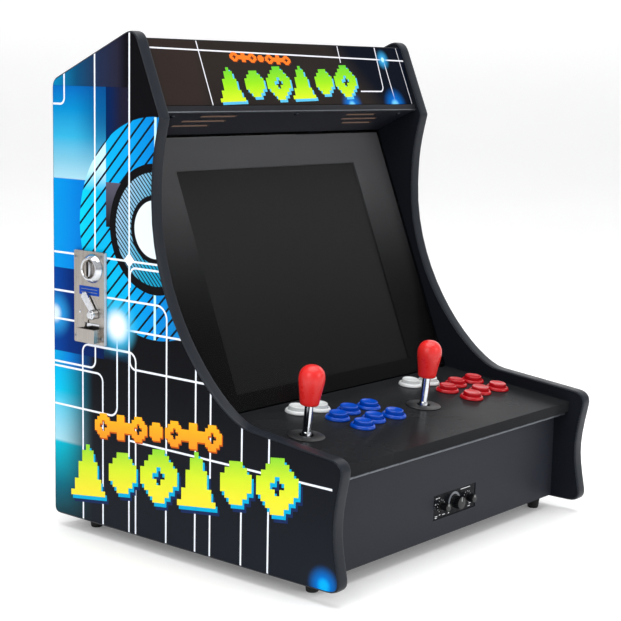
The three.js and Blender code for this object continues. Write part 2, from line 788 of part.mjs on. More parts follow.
// In this group x runs forward, y up and z out of the left side.
const coinGroup = groupAt(cabinet, -WIDTH / 2 - GAP, ...COIN_CENTRE);
coinGroup.setRotationFromMatrix(
  new THREE.Matrix4().makeBasis(
    new THREE.Vector3(0, -1, 0),
    new THREE.Vector3(0, 0, 1),
    new THREE.Vector3(-1, 0, 0),
  ),
);
const ENTRY = { x: 7.5, y: 38.5, radius: 18.5, proud: 12, slot: [3.2, 30] };
const LEVER = { x: 13, y: -20.5, boss: 6.5, reach: [-6.4, 3.8], bore: 3 };
const CUP = { x: [-11, 22.5], y: [-57, -39.5], wall: 2.5, proud: COIN_CUP_PROUD - GAP };
const RETURN_DOOR = { x: [-8, 19.5], y: [-53, -33] };
const plateDepth = COIN_PLATE[2];
const entryDome = turned([
  [0, plateDepth - 0.1],
  [ENTRY.radius, plateDepth - 0.1],
  [ENTRY.radius, plateDepth + 2],
  [ENTRY.radius - 3.5, ENTRY.proud],
  [ENTRY.radius - 7, ENTRY.proud],
  [ENTRY.radius - 9, ENTRY.proud - 3],
  [0, ENTRY.proud - 3],
]).translate(ENTRY.x, ENTRY.y, 0);
const entrySlot = box(
  [-ENTRY.slot[0] / 2, -ENTRY.slot[1] / 2, -1],
  [ENTRY.slot[0] / 2, ENTRY.slot[1] / 2, ENTRY.proud + 1],
).translate(ENTRY.x, ENTRY.y, 0);
const rejectSlot = box([-2.4, -38, plateDepth - 2.5], [0.6, -29, plateDepth + 1]);
const cupBlock = box(
  [CUP.x[0], CUP.y[0], plateDepth - 0.1],
  [CUP.x[1], CUP.y[1], CUP.proud],
);
const cupHollow = box(
  [CUP.x[0] + CUP.wall, CUP.y[0] + CUP.wall, plateDepth - 1],
  [CUP.x[1] - CUP.wall, CUP.y[1] + 1, CUP.proud - CUP.wall],
);
const returnOpening = box([RETURN_DOOR.x[0], RETURN_DOOR.y[0], -1], [RETURN_DOOR.x[1], RETURN_DOOR.y[1], 6]);
add(
  coinGroup,
  "coin_plate",
  cut(
    join(flatPlate(roundedRectangle(COIN_PLATE[0], COIN_PLATE[1], 2), 0, plateDepth), entryDome, cupBlock),
    entrySlot,
    rejectSlot,
    cupHollow,
    returnOpening,
    rod(LEVER.bore + 0.5, -1, plateDepth + 1).translate(LEVER.x, LEVER.y, 0),
  ),
  STEEL,
);

// Return lever: a round boss on a spindle, with a flat arm that points up and back.
const armAngle = Math.atan2(LEVER.reach[1] - LEVER.y, LEVER.reach[0] - LEVER.x);
const armLength = Math.hypot(LEVER.reach[1] - LEVER.y, LEVER.reach[0] - LEVER.x);
const armShape = new THREE.Shape(points([[0, -4], [armLength, -6], [armLength + 3, 0], [armLength, 6], [0, 4]]));
add(
  coinGroup,
  "coin_return_lever",
  join(
    turned([
      [0, 0.5],
      [LEVER.bore, 0.5],
      [LEVER.bore, plateDepth + 0.6],
      [LEVER.boss, plateDepth + 0.6],
      [LEVER.boss, COIN_CUP_PROUD - 3],
      [LEVER.boss - 1.5, COIN_CUP_PROUD - 1.5],
      [0, COIN_CUP_PROUD - 1.5],
    ]),
    flatPlate(armShape, plateDepth + 1.5, plateDepth + 4).rotateZ(armAngle),
  ),
  CHROME,
).position.set(LEVER.x, LEVER.y, 0);

// Return flap: hangs in the opening behind the cup and swings inwards.
const FLAP_CLEARANCE = 0.8;
add(
  coinGroup,
  "coin_return_flap",
  box(
    [RETURN_DOOR.x[0] + FLAP_CLEARANCE, RETURN_DOOR.y[0] + FLAP_CLEARANCE, 1.5],
    [RETURN_DOOR.x[1] - FLAP_CLEARANCE, RETURN_DOOR.y[1] - FLAP_CLEARANCE, 3],
  ),
  CHROME,
);
// The selector body behind the plate, hollow where the rejected coins come down.
const SELECTOR_DEPTH = 62;
add(
  coinGroup,
  "coin_selector",
  cut(
    box(
      [-COIN_CUTOUT[0] / 2 + GAP, -COIN_CUTOUT[1] / 2 + GAP, -SELECTOR_DEPTH],
      [COIN_CUTOUT[0] / 2 - GAP, COIN_CUTOUT[1] / 2 - GAP, -GAP],
    ),
    box([RETURN_DOOR.x[0] - 1, -COIN_CUTOUT[1] / 2 - 1, -28], [RETURN_DOOR.x[1] + 2, RETURN_DOOR.y[1] + 2, 1]),
    box(
      [ENTRY.x - ENTRY.slot[0] / 2, ENTRY.y - ENTRY.slot[1] / 2, -30],
      [ENTRY.x + ENTRY.slot[0] / 2, COIN_CUTOUT[1] / 2 + 1, 1],
    ),
  ),
  BLACK_METAL,
);

// ---------------------------------------------------------------- feet

// Tapered rubber feet, screwed to the base panel.
const FOOT = { top: 10, bottom: 7.8, x: 248, front: -182.5, rear: 200 };
const footShape = turned(
  [
    [0, -FOOT_CLEARANCE],
    [FOOT.bottom - 1, -FOOT_CLEARANCE],
    [FOOT.bottom, -FOOT_CLEARANCE + 1],
    [FOOT.top, FLOOR_Z - GAP],
    [0, FLOOR_Z - GAP],
  ],
  20,
);
for (const [row, y] of [["front", FOOT.front], ["rear", FOOT.rear]]) {
  for (const [side, x] of [["left", -FOOT.x], ["right", FOOT.x]]) {
    add(cabinet, "foot_" + row + "_" + side, footShape, RUBBER).position.set(x, y, 0);
  }
}

export default part;
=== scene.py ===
"""Looks of the two-player bartop arcade cabinet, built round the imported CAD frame.

Metres, in the row frame: +X is the player's right, -Y the front, +Z up. The pieces are drawn in millimetres
in local frames, and the helpers multiply by MM.
"""

import json
import math

import bmesh
import bpy
from mathutils import Matrix, Vector


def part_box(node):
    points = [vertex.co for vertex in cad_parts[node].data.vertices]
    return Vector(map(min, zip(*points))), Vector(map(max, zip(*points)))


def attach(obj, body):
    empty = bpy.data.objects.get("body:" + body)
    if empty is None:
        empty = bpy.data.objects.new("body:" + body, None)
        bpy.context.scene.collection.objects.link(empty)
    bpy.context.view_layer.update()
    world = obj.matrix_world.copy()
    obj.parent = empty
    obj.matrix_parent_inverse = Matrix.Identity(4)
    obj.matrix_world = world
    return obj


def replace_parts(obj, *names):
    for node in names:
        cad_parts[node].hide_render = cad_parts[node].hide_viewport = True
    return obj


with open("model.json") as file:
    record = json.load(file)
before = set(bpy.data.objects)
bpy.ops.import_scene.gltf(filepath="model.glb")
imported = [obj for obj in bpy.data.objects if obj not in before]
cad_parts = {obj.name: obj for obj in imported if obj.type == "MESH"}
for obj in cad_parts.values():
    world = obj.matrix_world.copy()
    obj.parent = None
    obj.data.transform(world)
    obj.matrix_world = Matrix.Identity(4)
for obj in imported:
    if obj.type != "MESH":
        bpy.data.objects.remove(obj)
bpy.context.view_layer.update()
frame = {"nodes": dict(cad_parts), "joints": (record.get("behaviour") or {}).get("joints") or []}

MM = 0.001
NODES = frame["nodes"]
JOINTS = {joint["name"]: joint for joint in frame["joints"]}

# ---------------------------------------------------------------- where things are

left_low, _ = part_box("side_panel_left")
_, right_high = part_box("side_panel_right")
MOULDING = 2.5 * MM
CENTRE_X = (left_low.x + right_high.x) / 2
BASE_Z = left_low.z - MOULDING  # lower edge of the sides, moulding included
OUTER_X = (right_high.x - left_low.x) / 2


def axes(origin, x, y, z):
    """The matrix of a frame with that origin and those unit axes."""
    matrix = Matrix.Identity(4)
    for column, axis in enumerate((x, y, z)):
        for row in range(3):
            matrix[row][column] = axis[row]
    matrix.translation = origin
    return matrix


X, Y, Z = Vector((1, 0, 0)), Vector((0, 1, 0)), Vector((0, 0, 1))

# Control panel: x across, y back along its surface from the front edge, z up off it.
panel_low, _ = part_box("control_panel")
PANEL_UP = -Vector(JOINTS["button_left_start_press"]["axis"])
PANEL_BACK = Vector((0, PANEL_UP.z, -PANEL_UP.y))
PANEL_THICKNESS = 15 * MM
PANEL = axes(
    Vector((CENTRE_X, panel_low.y, panel_low.z + PANEL_THICKNESS * PANEL_UP.z)), X, PANEL_BACK, PANEL_UP
)

# Coin plate: x towards the front, y up, z out of the left side.
coin_low, coin_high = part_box("coin_plate")
COIN = axes(Vector((coin_high.x, (coin_low.y + coin_high.y) / 2, (coin_low.z + coin_high.z) / 2)), -Y, Z, -X)

# Amplifier: x across, y up, z towards the player.
amp_low, amp_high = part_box("amplifier_panel")
AMP = axes(Vector(((amp_low.x + amp_high.x) / 2, amp_low.y, (amp_low.z + amp_high.z) / 2)), X, Z, -Y)

# Speaker panel: x across, y back along its underside from the front edge, z up into the marquee box.
SPEAKER_SLOPE = math.radians(-25.3)
SPEAKER_THICKNESS = 9 * MM
speaker_low, speaker_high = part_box("speaker_panel")
SPEAKER_BACK = Vector((0, math.cos(SPEAKER_SLOPE), math.sin(SPEAKER_SLOPE)))
SPEAKER_UP = Vector((0, -SPEAKER_BACK.z, SPEAKER_BACK.y))
speaker_edge = Vector((CENTRE_X, speaker_low.y, speaker_high.z - SPEAKER_THICKNESS * SPEAKER_UP.z))
SPEAKER = axes(speaker_edge, X, SPEAKER_BACK, SPEAKER_UP)

# Rear face: x towards the row's -X, y up, z out of the back.
_, rear_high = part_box("rear_panel")
REAR = axes(Vector((CENTRE_X, rear_high.y, BASE_Z)), -X, Z, Y)


def axis_point(node, local):
    """Where a round CAD node's axis crosses the z = 0 plane of a local frame, in that frame."""
    vertices = NODES[node].data.vertices
    middle = sum((v.co for v in vertices), Vector()) / len(vertices)
    return local.inverted() @ middle


# ---------------------------------------------------------------- mesh helpers


def finish_mesh(mesh, name, body, materials, smooth_angle=35):
    """Turns a bmesh into a piece that rides on a body."""
    bmesh.ops.remove_doubles(mesh, verts=mesh.verts, dist=1e-7)
    bmesh.ops.recalc_face_normals(mesh, faces=mesh.faces)
    data = bpy.data.meshes.new(name)
    mesh.to_mesh(data)
    mesh.free()
    piece = bpy.data.objects.new(name, data)
    bpy.context.scene.collection.objects.link(piece)
    for material in materials:
        data.materials.append(material)
    shade(piece, smooth_angle)
    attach(piece, body)
    return piece


def shade(piece, smooth_angle):
    data = piece.data
    data.shade_smooth()
    data.set_sharp_from_angle(angle=math.radians(smooth_angle))


def add_turned(mesh, profile, matrix, segments=48, material=0):
    """Adds a solid of revolution; the profile is [radius, z] in mm, from axis to axis or a closed ring."""
    rings = []
    closed = profile[0][0] > 0
    for radius, z in profile:
        if radius == 0:
            rings.append([mesh.verts.new(matrix @ Vector((0, 0, z * MM)))])
            continue
        ring = []
        for i in range(segments):
            angle = math.tau * i / segments
            spot = Vector((radius * math.cos(angle), radius * math.sin(angle), z)) * MM
            ring.append(mesh.verts.new(matrix @ spot))
        rings.append(ring)
    pairs = list(zip(rings, rings[1:]))
    if closed:
        pairs.append((rings[-1], rings[0]))
    for low, high in pairs:
        for i in range(segments):
            j = (i + 1) % segments
            corners = [low[i % len(low)], low[j % len(low)], high[j % len(high)], high[i % len(high)]]
            face = mesh.faces.new(list(dict.fromkeys(corners)))
            face.material_index = material


def add_prism(mesh, outline, z0, z1, matrix, bevel=0.0, material=0, bevel_segments=2):
    """Adds an outline in millimetres, extruded from z0 to z1, with its edges rounded off."""
    part = bmesh.new()
    bottom = [part.verts.new(Vector((x, y, z0)) * MM) for x, y in outline]
    face = part.faces.new(bottom)
    raised = bmesh.ops.extrude_face_region(part, geom=[face])
    top = [item for item in raised["geom"] if isinstance(item, bmesh.types.BMVert)]
    bmesh.ops.translate(part, verts=top, vec=Vector((0, 0, (z1 - z0) * MM)))
    bmesh.ops.recalc_face_normals(part, faces=part.faces)
    if bevel:
        caps = [e for e in part.edges if abs(e.verts[0].co.z - e.verts[1].co.z) < 1e-7]
        sharp = [e for e in part.edges if e not in caps and e.calc_face_angle(0) > math.radians(50)]
        bmesh.ops.bevel(
            part, geom=caps + sharp, offset=bevel * MM, segments=bevel_segments, profile=0.7, affect="EDGES"
        )
    merge_into(mesh, part, matrix, material)


def add_box(mesh, low, high, matrix, bevel=0.3, material=0):
    outline = [(low[0], low[1]), (high[0], low[1]), (high[0], high[1]), (low[0], high[1])]
    add_prism(mesh, outline, low[2], high[2], matrix, bevel, material)


def merge_into(mesh, part, matrix, material):
    copies = {vertex: mesh.verts.new(matrix @ vertex.co) for vertex in part.verts}
    for face in part.faces:
        made = mesh.faces.new([copies[vertex] for vertex in face.verts])
        made.material_index = material
    part.free()


def rounded(width, height, radius, steps=5):
    """A rounded rectangle's outline round the origin."""
    outline = []
    for sx, sy, start in ((1, -1, -90), (1, 1, 0), (-1, 1, 90), (-1, -1, 180)):
        for i in range(steps + 1):
            angle = math.radians(start + 90 * i / steps)
            outline.append((
                sx * (width / 2 - radius) + radius * math.cos(angle),
                sy * (height / 2 - radius) + radius * math.sin(angle),
            ))
    return outline


def cut_mesh(mesh, tool):
    """Subtracts one closed bmesh from another and returns the result."""
    objects = []
    for part in (mesh, tool):
        data = bpy.data.meshes.new("cut")
        bmesh.ops.recalc_face_normals(part, faces=part.faces)
        part.to_mesh(data)
        part.free()
        made = bpy.data.objects.new("cut", data)
        bpy.context.scene.collection.objects.link(made)
        objects.append(made)
    target, cutter = objects
    modifier = target.modifiers.new("cut", "BOOLEAN")
    modifier.operation = "DIFFERENCE"
    modifier.object = cutter
    modifier.solver = "EXACT"
    bpy.context.view_layer.update()
    evaluated = target.evaluated_get(bpy.context.evaluated_depsgraph_get())
    result = bmesh.new()
    result.from_mesh(evaluated.data)
    for made in objects:
        bpy.data.objects.remove(made)
    return result


# ---------------------------------------------------------------- shader arithmetic


def srgb(red, green, blue):
    """An 8-bit screen colour as linear RGBA."""
    def linear(value):
        value /= 255
        return value / 12.92 if value <= 0.04045 else ((value + 0.055) / 1.055) ** 2.4
    return (linear(red), linear(green), linear(blue), 1.0)


class Value:
    """A number that varies over a surface, with ordinary arithmetic."""

    def __init__(self, paint, socket):
        self.paint = paint
        self.socket = socket

    def __add__(self, other):
        return self.paint.math("ADD", self, other)

    __radd__ = __add__

    def __sub__(self, other):
        return self.paint.math("SUBTRACT", self, other)

    def __rsub__(self, other):
        return self.paint.math("SUBTRACT", other, self)

    def __mul__(self, other):
        return self.paint.math("MULTIPLY", self, other)

    __rmul__ = __mul__

    def __truediv__(self, other):
        return self.paint.math("DIVIDE", self, other)

    def __lt__(self, other):
        return self.paint.math("LESS_THAN", self, other)

    def __gt__(self, other):
        return self.paint.math("GREATER_THAN", self, other)

    def __abs__(self):
        return self.paint.math("ABSOLUTE", self)


class Paint:
    """A material whose nodes are made by calling plain functions."""

    def __init__(self, name, **shader):
        self.material = bpy.data.materials.new(name)
        self.material.use_nodes = True
        self.tree = self.material.node_tree
        self.shader = self.tree.nodes["Principled BSDF"]
        for key, value in shader.items():
            self.shader.inputs[key.replace("_", " ")].default_value = value
        coordinates = self.tree.nodes.new("ShaderNodeTexCoord")
        self.place = coordinates.outputs["Object"]
        self.facing = coordinates.outputs["Normal"]

    def set(self, name, source):
        self.plug(self.shader.inputs[name], source)

    def plug(self, socket, source):
        if isinstance(source, Value):
            source = source.socket
        if isinstance(source, bpy.types.NodeSocket):
            self.tree.links.new(source, socket)
        else:
            socket.default_value = source

    def math(self, operation, *inputs):
        node = self.tree.nodes.new("ShaderNodeMath")
        node.operation = operation
        for socket, source in zip(node.inputs, inputs):
            self.plug(socket, source)
        return Value(self, node.outputs[0])

    def parts(self, vector=None):
        """The three numbers of a position, in millimetres, or of a direction."""
        node = self.tree.nodes.new("ShaderNodeSeparateXYZ")
        self.tree.links.new(vector or self.place, node.inputs[0])
        values = [Value(self, output) for output in node.outputs]
        return values if vector else [value * 1000 for value in values]

    def least(self, a, b):
        return self.math("MINIMUM", a, b)

    def most(self, a, b):
        return self.math("MAXIMUM", a, b)

    def floor(self, a):
        return self.math("FLOOR", a)

    def length(self, a, b):
        return self.math("SQRT", a * a + b * b)

    def between(self, value, low, high):
        return (value > low) * (value < high)

    def ramp(self, value, low, high, start=0.0, end=1.0):
        """Goes smoothly from start at low to end at high."""
        node = self.tree.nodes.new("ShaderNodeMapRange")
        node.interpolation_type = "SMOOTHSTEP"
        for socket, source in zip(node.inputs, (value, low, high, start, end)):
            self.plug(socket, source)
        return Value(self, node.outputs[0])

    def mix(self, under, over, amount):
        node = self.tree.nodes.new("ShaderNodeMix")
        node.data_type = "RGBA"
        self.plug(node.inputs[0], amount)
        self.plug(node.inputs[6], under)
        self.plug(node.inputs[7], over)
        return node.outputs[2]

    def noise(self, scale, detail=2.0, roughness=0.5, stretch=(1, 1, 1)):
        mapping = self.tree.nodes.new("ShaderNodeMapping")
        mapping.inputs["Scale"].default_value = stretch
        self.tree.links.new(self.place, mapping.inputs["Vector"])
        node = self.tree.nodes.new("ShaderNodeTexNoise")
        self.tree.links.new(mapping.outputs[0], node.inputs["Vector"])
        node.inputs["Scale"].default_value = scale
        node.inputs["Detail"].default_value = detail
        node.inputs["Roughness"].default_value = roughness
        return Value(self, node.outputs["Fac"])

    def cells(self, scale, stretch=(1, 1, 1)):
        mapping = self.tree.nodes.new("ShaderNodeMapping")
        mapping.inputs["Scale"].default_value = stretch
        self.tree.links.new(self.place, mapping.inputs["Vector"])
        node = self.tree.nodes.new("ShaderNodeTexVoronoi")
        self.tree.links.new(mapping.outputs[0], node.inputs["Vector"])
        node.inputs["Scale"].default_value = scale
        return Value(self, node.outputs["Distance"])

    def bump(self, height, strength, distance_mm):
        node = self.tree.nodes.new("ShaderNodeBump")
        node.inputs["Strength"].default_value = strength
        node.inputs["Distance"].default_value = distance_mm * MM
        self.plug(node.inputs["Height"], height)
        self.tree.links.new(node.outputs[0], self.shader.inputs["Normal"])

    def edge_wear(self):
        """1 near convex edges, 0 on flat ground."""
        node = self.tree.nodes.new("ShaderNodeNewGeometry")
        return self.ramp(Value(self, node.outputs["Pointiness"]), 0.52, 0.62)


# ---------------------------------------------------------------- plain materials


def moulded(name, colour, rough, grain=0.0, variation=0.06, **shader):
    """Injection-moulded plastic: slight colour drift, uneven gloss and a fine surface grain."""
    paint = Paint(name, **shader)
    cloud = paint.noise(35, 3)
    darker = tuple(c * (1 - variation * 2) for c in colour[:3]) + (1,)
    lighter = tuple(min(1, c * (1 + variation)) for c in colour[:3]) + (1,)
    paint.set("Base Color", paint.mix(darker, lighter, cloud))
    smudge = paint.noise(90, 4, 0.6)
    paint.set("Roughness", paint.ramp(smudge, 0.3, 0.7, rough * 0.85, rough * 1.2))
    if grain:
        paint.bump(paint.noise(2600, 2), grain, 0.03)
    return paint.material


def metal(name, colour, rough, brushed=None, bump=0.06, **shader):
    """Bare metal; brushed gives the stretch of its grain in the row's axes."""
    paint = Paint(name, Metallic=1.0, **shader)
    streak = paint.noise(220, 4, 0.7, brushed or (1, 1, 1))
    dark = tuple(c * 0.82 for c in colour[:3]) + (1,)
    paint.set("Base Color", paint.mix(dark, colour, paint.ramp(streak, 0.3, 0.7)))
    cloud = paint.noise(40, 3)
    paint.set("Roughness", paint.ramp(streak * 0.6 + cloud * 0.4, 0.3, 0.7, rough * 0.75, rough * 1.3))
    paint.bump(streak, bump, 0.02)
    return paint.material


def laminate(name, colour, rough, peel=0.12, speck=0.02, shine=0.25):
    """Painted or vinyl-wrapped board: orange peel, faint mottling, soft wear on its corners."""
    paint = Paint(name, Specular_IOR_Level=shine)
    cloud = paint.noise(9, 4, 0.55)
    fine = paint.noise(900, 3)
    lighter = tuple(c * 1.35 + speck * 0.1 for c in colour[:3]) + (1,)
    base = paint.mix(colour, lighter, paint.ramp(cloud * 0.7 + fine * 0.3, 0.35, 0.7))
    worn = tuple(min(1, c * 2.2 + 0.012) for c in colour[:3]) + (1,)
    paint.set("Base Color", paint.mix(base, worn, paint.edge_wear() * 0.6))
    paint.set("Roughness", paint.ramp(cloud, 0.25, 0.75, rough * 0.85, rough * 1.15))
    paint.bump(paint.noise(420, 2), peel, 0.05)
    return paint.material


BLACK_BOARD = laminate("black_board", srgb(21, 23, 27), 0.42, shine=0.12)
# A darker copy of the black board for the base panel inside the cabinet: painted shade.
SHADED_INSIDE_BOARD = laminate("shaded_inside_board", srgb(16, 17, 20), 0.5, shine=0.12)
PANEL_TOP = laminate("panel_vinyl", srgb(17, 18, 20), 0.25, peel=0.06, shine=0.015)
FRONT_BOARD = laminate("front_vinyl", srgb(34, 36, 43), 0.5, peel=0.22, shine=0.12)
LID_BOARD = laminate("lid_vinyl", srgb(20, 21, 25), 0.45, shine=0.12)
EDGE_TRIM = moulded("edge_trim", srgb(27, 31, 38), 0.33, grain=0.12, variation=0.05, Specular_IOR_Level=0.16)
# Matt black for the key slot: painted shade for the dark inside the keyway.
KEYWAY_PAINTED_SHADE = moulded("matt_black", srgb(12, 12, 13), 0.75, grain=0.3)
BLACK_PLASTIC = moulded("black_plastic", srgb(14, 15, 17), 0.3, grain=0.15, Specular_IOR_Level=0.3)
SATIN_BLACK = moulded("satin_black", srgb(17, 18, 21), 0.4, grain=0.1)
RED_PLASTIC = moulded("red_plastic", srgb(178, 12, 24), 0.2, variation=0.04, Specular_IOR_Level=0.35)
BAT_RED = moulded("bat_red", srgb(218, 38, 36), 0.3, variation=0.05, Specular_IOR_Level=0.4)
BLUE_PLASTIC = moulded("blue_plastic", srgb(0, 68, 176), 0.2, variation=0.04, Specular_IOR_Level=0.3)
WHITE_PLASTIC = moulded("white_plastic", srgb(208, 211, 211), 0.22, variation=0.02, Coat_Weight=0.2)
RUBBER = moulded("rubber", srgb(16, 16, 17), 0.8, grain=0.5, variation=0.15)
CHROME = metal("chrome", srgb(214, 217, 222), 0.09, bump=0.01)
COIN_STEEL = metal("coin_steel", srgb(176, 170, 164), 0.3, brushed=(1, 1, 0.05))
ZINC = metal("zinc", srgb(150, 152, 156), 0.35)
BLACK_ZINC = metal("black_zinc", srgb(58, 62, 68), 0.38)
ALUMINIUM = metal("aluminium", srgb(178, 180, 183), 0.42, brushed=(0.1, 1, 1))
COPPER = metal("contact_brass", srgb(196, 160, 96), 0.35)
WHITE_INK = moulded("white_ink", srgb(222, 224, 226), 0.5, variation=0.02)
GREY_INK = moulded("grey_ink", srgb(120, 124, 130), 0.45, variation=0.04)
LABEL_BLUE = moulded("label_blue", srgb(4, 62, 160), 0.4, variation=0.1, Specular_IOR_Level=0.1)
# Pale strip colour: a painted highlight for the coin plate's front edge.
EDGE_HIGHLIGHT_PAINT = moulded("painted_edge_highlight", srgb(196, 202, 208), 0.35, variation=0.03)


# ---------------------------------------------------------------- printed artwork


class Artwork(Paint):
    """Printed vinyl: plain shapes laid over each other, measured across and up in millimetres."""

    def begin(self, across, up, ground):
        self.across, self.up, self.print = across, up, ground
        self.strokes = None

    def shades(self, value, *stops):
        """A colour that follows a value through (value, colour) stops."""
        low, high = stops[0][0], stops[-1][0]
        node = self.tree.nodes.new("ShaderNodeValToRGB")
        self.plug(node.inputs[0], (value - low) * (1 / (high - low)))
        elements = node.color_ramp.elements
        for at, colour in stops[1:-1]:
            elements.new((at - low) / (high - low)).color = colour
        elements[0].color, elements[-1].color = stops[0][1], stops[-1][1]
        return node.outputs[0]

    def lay(self, colour, mask):
        self.print = self.mix(self.print, colour, mask)

    def band(self, value, low, high, soft=0.4):
        return self.ramp(value, low - soft, low + soft) * self.ramp(value, high - soft, high + soft, 1, 0)

    def from_point(self, across, up):
        return self.length(self.across - across, self.up - up)

    def glow(self, across, up, core, halo, colour, core_colour):
        far = self.from_point(across, up)
        self.lay(colour, self.ramp(far, core * 0.6, halo, 0.9, 0))
        self.lay(core_colour, self.ramp(far, core * 0.3, core, 1, 0))

    def stroke(self, distance, half=1.3, within=None):
        """Adds a white line where the distance is small."""
        mask = self.ramp(abs(distance), half - 0.3, half + 0.3, 1, 0)
        if within is not None:
            mask = mask * within
        self.strokes = mask if self.strokes is None else self.most(self.strokes, mask)

    def elbow(self, centre, radius, turn_across, turn_up, low=(-999, -999), high=(999, 999), half=1.3):
        """Two straight lines joined by a quarter circle; the turns say on which side of it they run."""
        along = self.most((self.across - centre[0]) * turn_across, 0)
        over = self.most((self.up - centre[1]) * turn_up, 0)
        within = (
            self.between(self.across, low[0], high[0]) * self.between(self.up, low[1], high[1])
        )
        self.stroke(self.length(along, over) - radius, half, within)

    def glyph_row(self, across, up, count, cells, order, tall=1.0):
        """A row of square-cell ornaments, from 0 to count across and from 0 to 1 down: plain shapes."""
        index = self.floor(across)
        inside = self.between(across, 0, count) * self.between(up, 0, tall)
        u = (self.floor((across - index) * cells) + 0.5) * (2 / cells) - 1
        v = (self.floor(up * cells) + 0.5) * (2 / cells) - 1
        wide, high = abs(u), abs(v)
        steps = wide + high
        shapes = {
            "diamond": self.between(steps, 0.3, 1.2),
            "cross": (self.least(wide, high) < 0.4) * (self.most(wide, high) < 0.95),
            "pyramid": (wide < (v + 1.3) * 0.42) * (high < 0.95),
            "star": (wide * high < 0.2) * (self.most(wide, high) < 0.85),
        }
        mask = None
        for name, shape in shapes.items():
            chosen = None
            for place, which in enumerate(order):
                if which == name:
                    here = self.between(index, place - 0.5, place + 0.5)
                    chosen = here if chosen is None else chosen + here
            if chosen is None:
                continue
            mask = shape * chosen if mask is None else mask + shape * chosen
        return mask * inside


def lines_on_side(art):
    """The white circuit lines: elbows as (centre, radius, turns, limits), then straight runs."""
    art.elbow((233, 559.5), 8, -1, -1)
    art.elbow((176.5, 220.5), 10, -1, -1)
    art.elbow((163.3, 193.5), 11, -1, 1)
    art.elbow((181, 230), 10, 1, 1, low=(104, -999))
    art.elbow((103.3, 227.5), 13, -1, 1, high=(181, 999))
    art.elbow((138, 165.5), 13, -1, -1, high=(999, 253))
    art.elbow((52.2, 289), 17.5, -1, 1)
    art.elbow((91, 339.5), 10, 1, 1, low=(-999, 324))
    art.elbow((91, 229), 10, 1, -1, high=(999, 239))
    art.stroke(art.across - 102.7)
    for across, top in ((-16.5, 240), (-42, 220), (-94.4, 185), (-138.3, 185)):
        art.stroke(art.across - across, within=art.up < top)
    art.stroke(art.up - 357.5)
    art.stroke(art.up - 268.5)
    art.stroke(art.up - 124.7, within=art.between(art.across, -236, 103))


def rings_on_side(art):
    """Two striped rings round a pale disc, all on one centre."""
    centre = (56.4, 401)
    far = art.from_point(*centre)
    rising, falling = art.across - art.up, art.across + art.up
    rear_side = art.shades(
        art.across, (-60, srgb(7, 75, 139)), (0, srgb(5, 95, 190)), (56, srgb(3, 124, 206)),
        (150, srgb(8, 176, 234)), (195, srgb(7, 202, 237)),
    )
    low_side = art.shades(
        art.across, (-40, srgb(27, 110, 150)), (56, srgb(3, 132, 212)), (150, srgb(6, 190, 232)),
    )
    outer = art.mix(low_side, rear_side, art.ramp(art.up, 330, 400))
    shine = art.ramp(art.across, 145.4, 145.8) * art.ramp(art.up, 440, 475) * 0.85
    outer = art.mix(outer, srgb(205, 233, 242), shine)
    bars = art.math("PINGPONG", falling / (14 * math.sqrt(2)), 0.5) < 0.105
    outer = art.mix(outer, srgb(12, 18, 30), bars)
    art.lay(outer, art.ramp(far, 138.9, 139.7, 1, 0) * (art.across < 200))
    art.lay(srgb(190, 235, 245), art.band(art.across, 54, 58) * art.ramp(far, 80, 82) * (far < 139))
    wedge = art.shades(art.up, (400, srgb(27, 24, 28)), (455, srgb(86, 83, 100)))
    between_rings = art.between(art.across, 100, 145.6) * art.between(art.up, 398, 455) * (far > 81)
    art.lay(wedge, between_rings)
    art.lay(srgb(14, 13, 16), far < 82)
    inner = art.shades(
        art.across + (art.up - 401) * 0.4,
        (0, srgb(15, 142, 185)), (56, srgb(30, 155, 190)), (125, srgb(147, 185, 211)),
    )
    fine = art.math("PINGPONG", rising / (4.7 * math.sqrt(2)), 0.5) < 0.175
    inner = art.mix(inner, srgb(14, 22, 32), fine)
    art.lay(inner, art.band(far, 43, 71))
    art.lay(srgb(223, 235, 243), art.ramp(far, 36.1, 36.9, 1, 0))


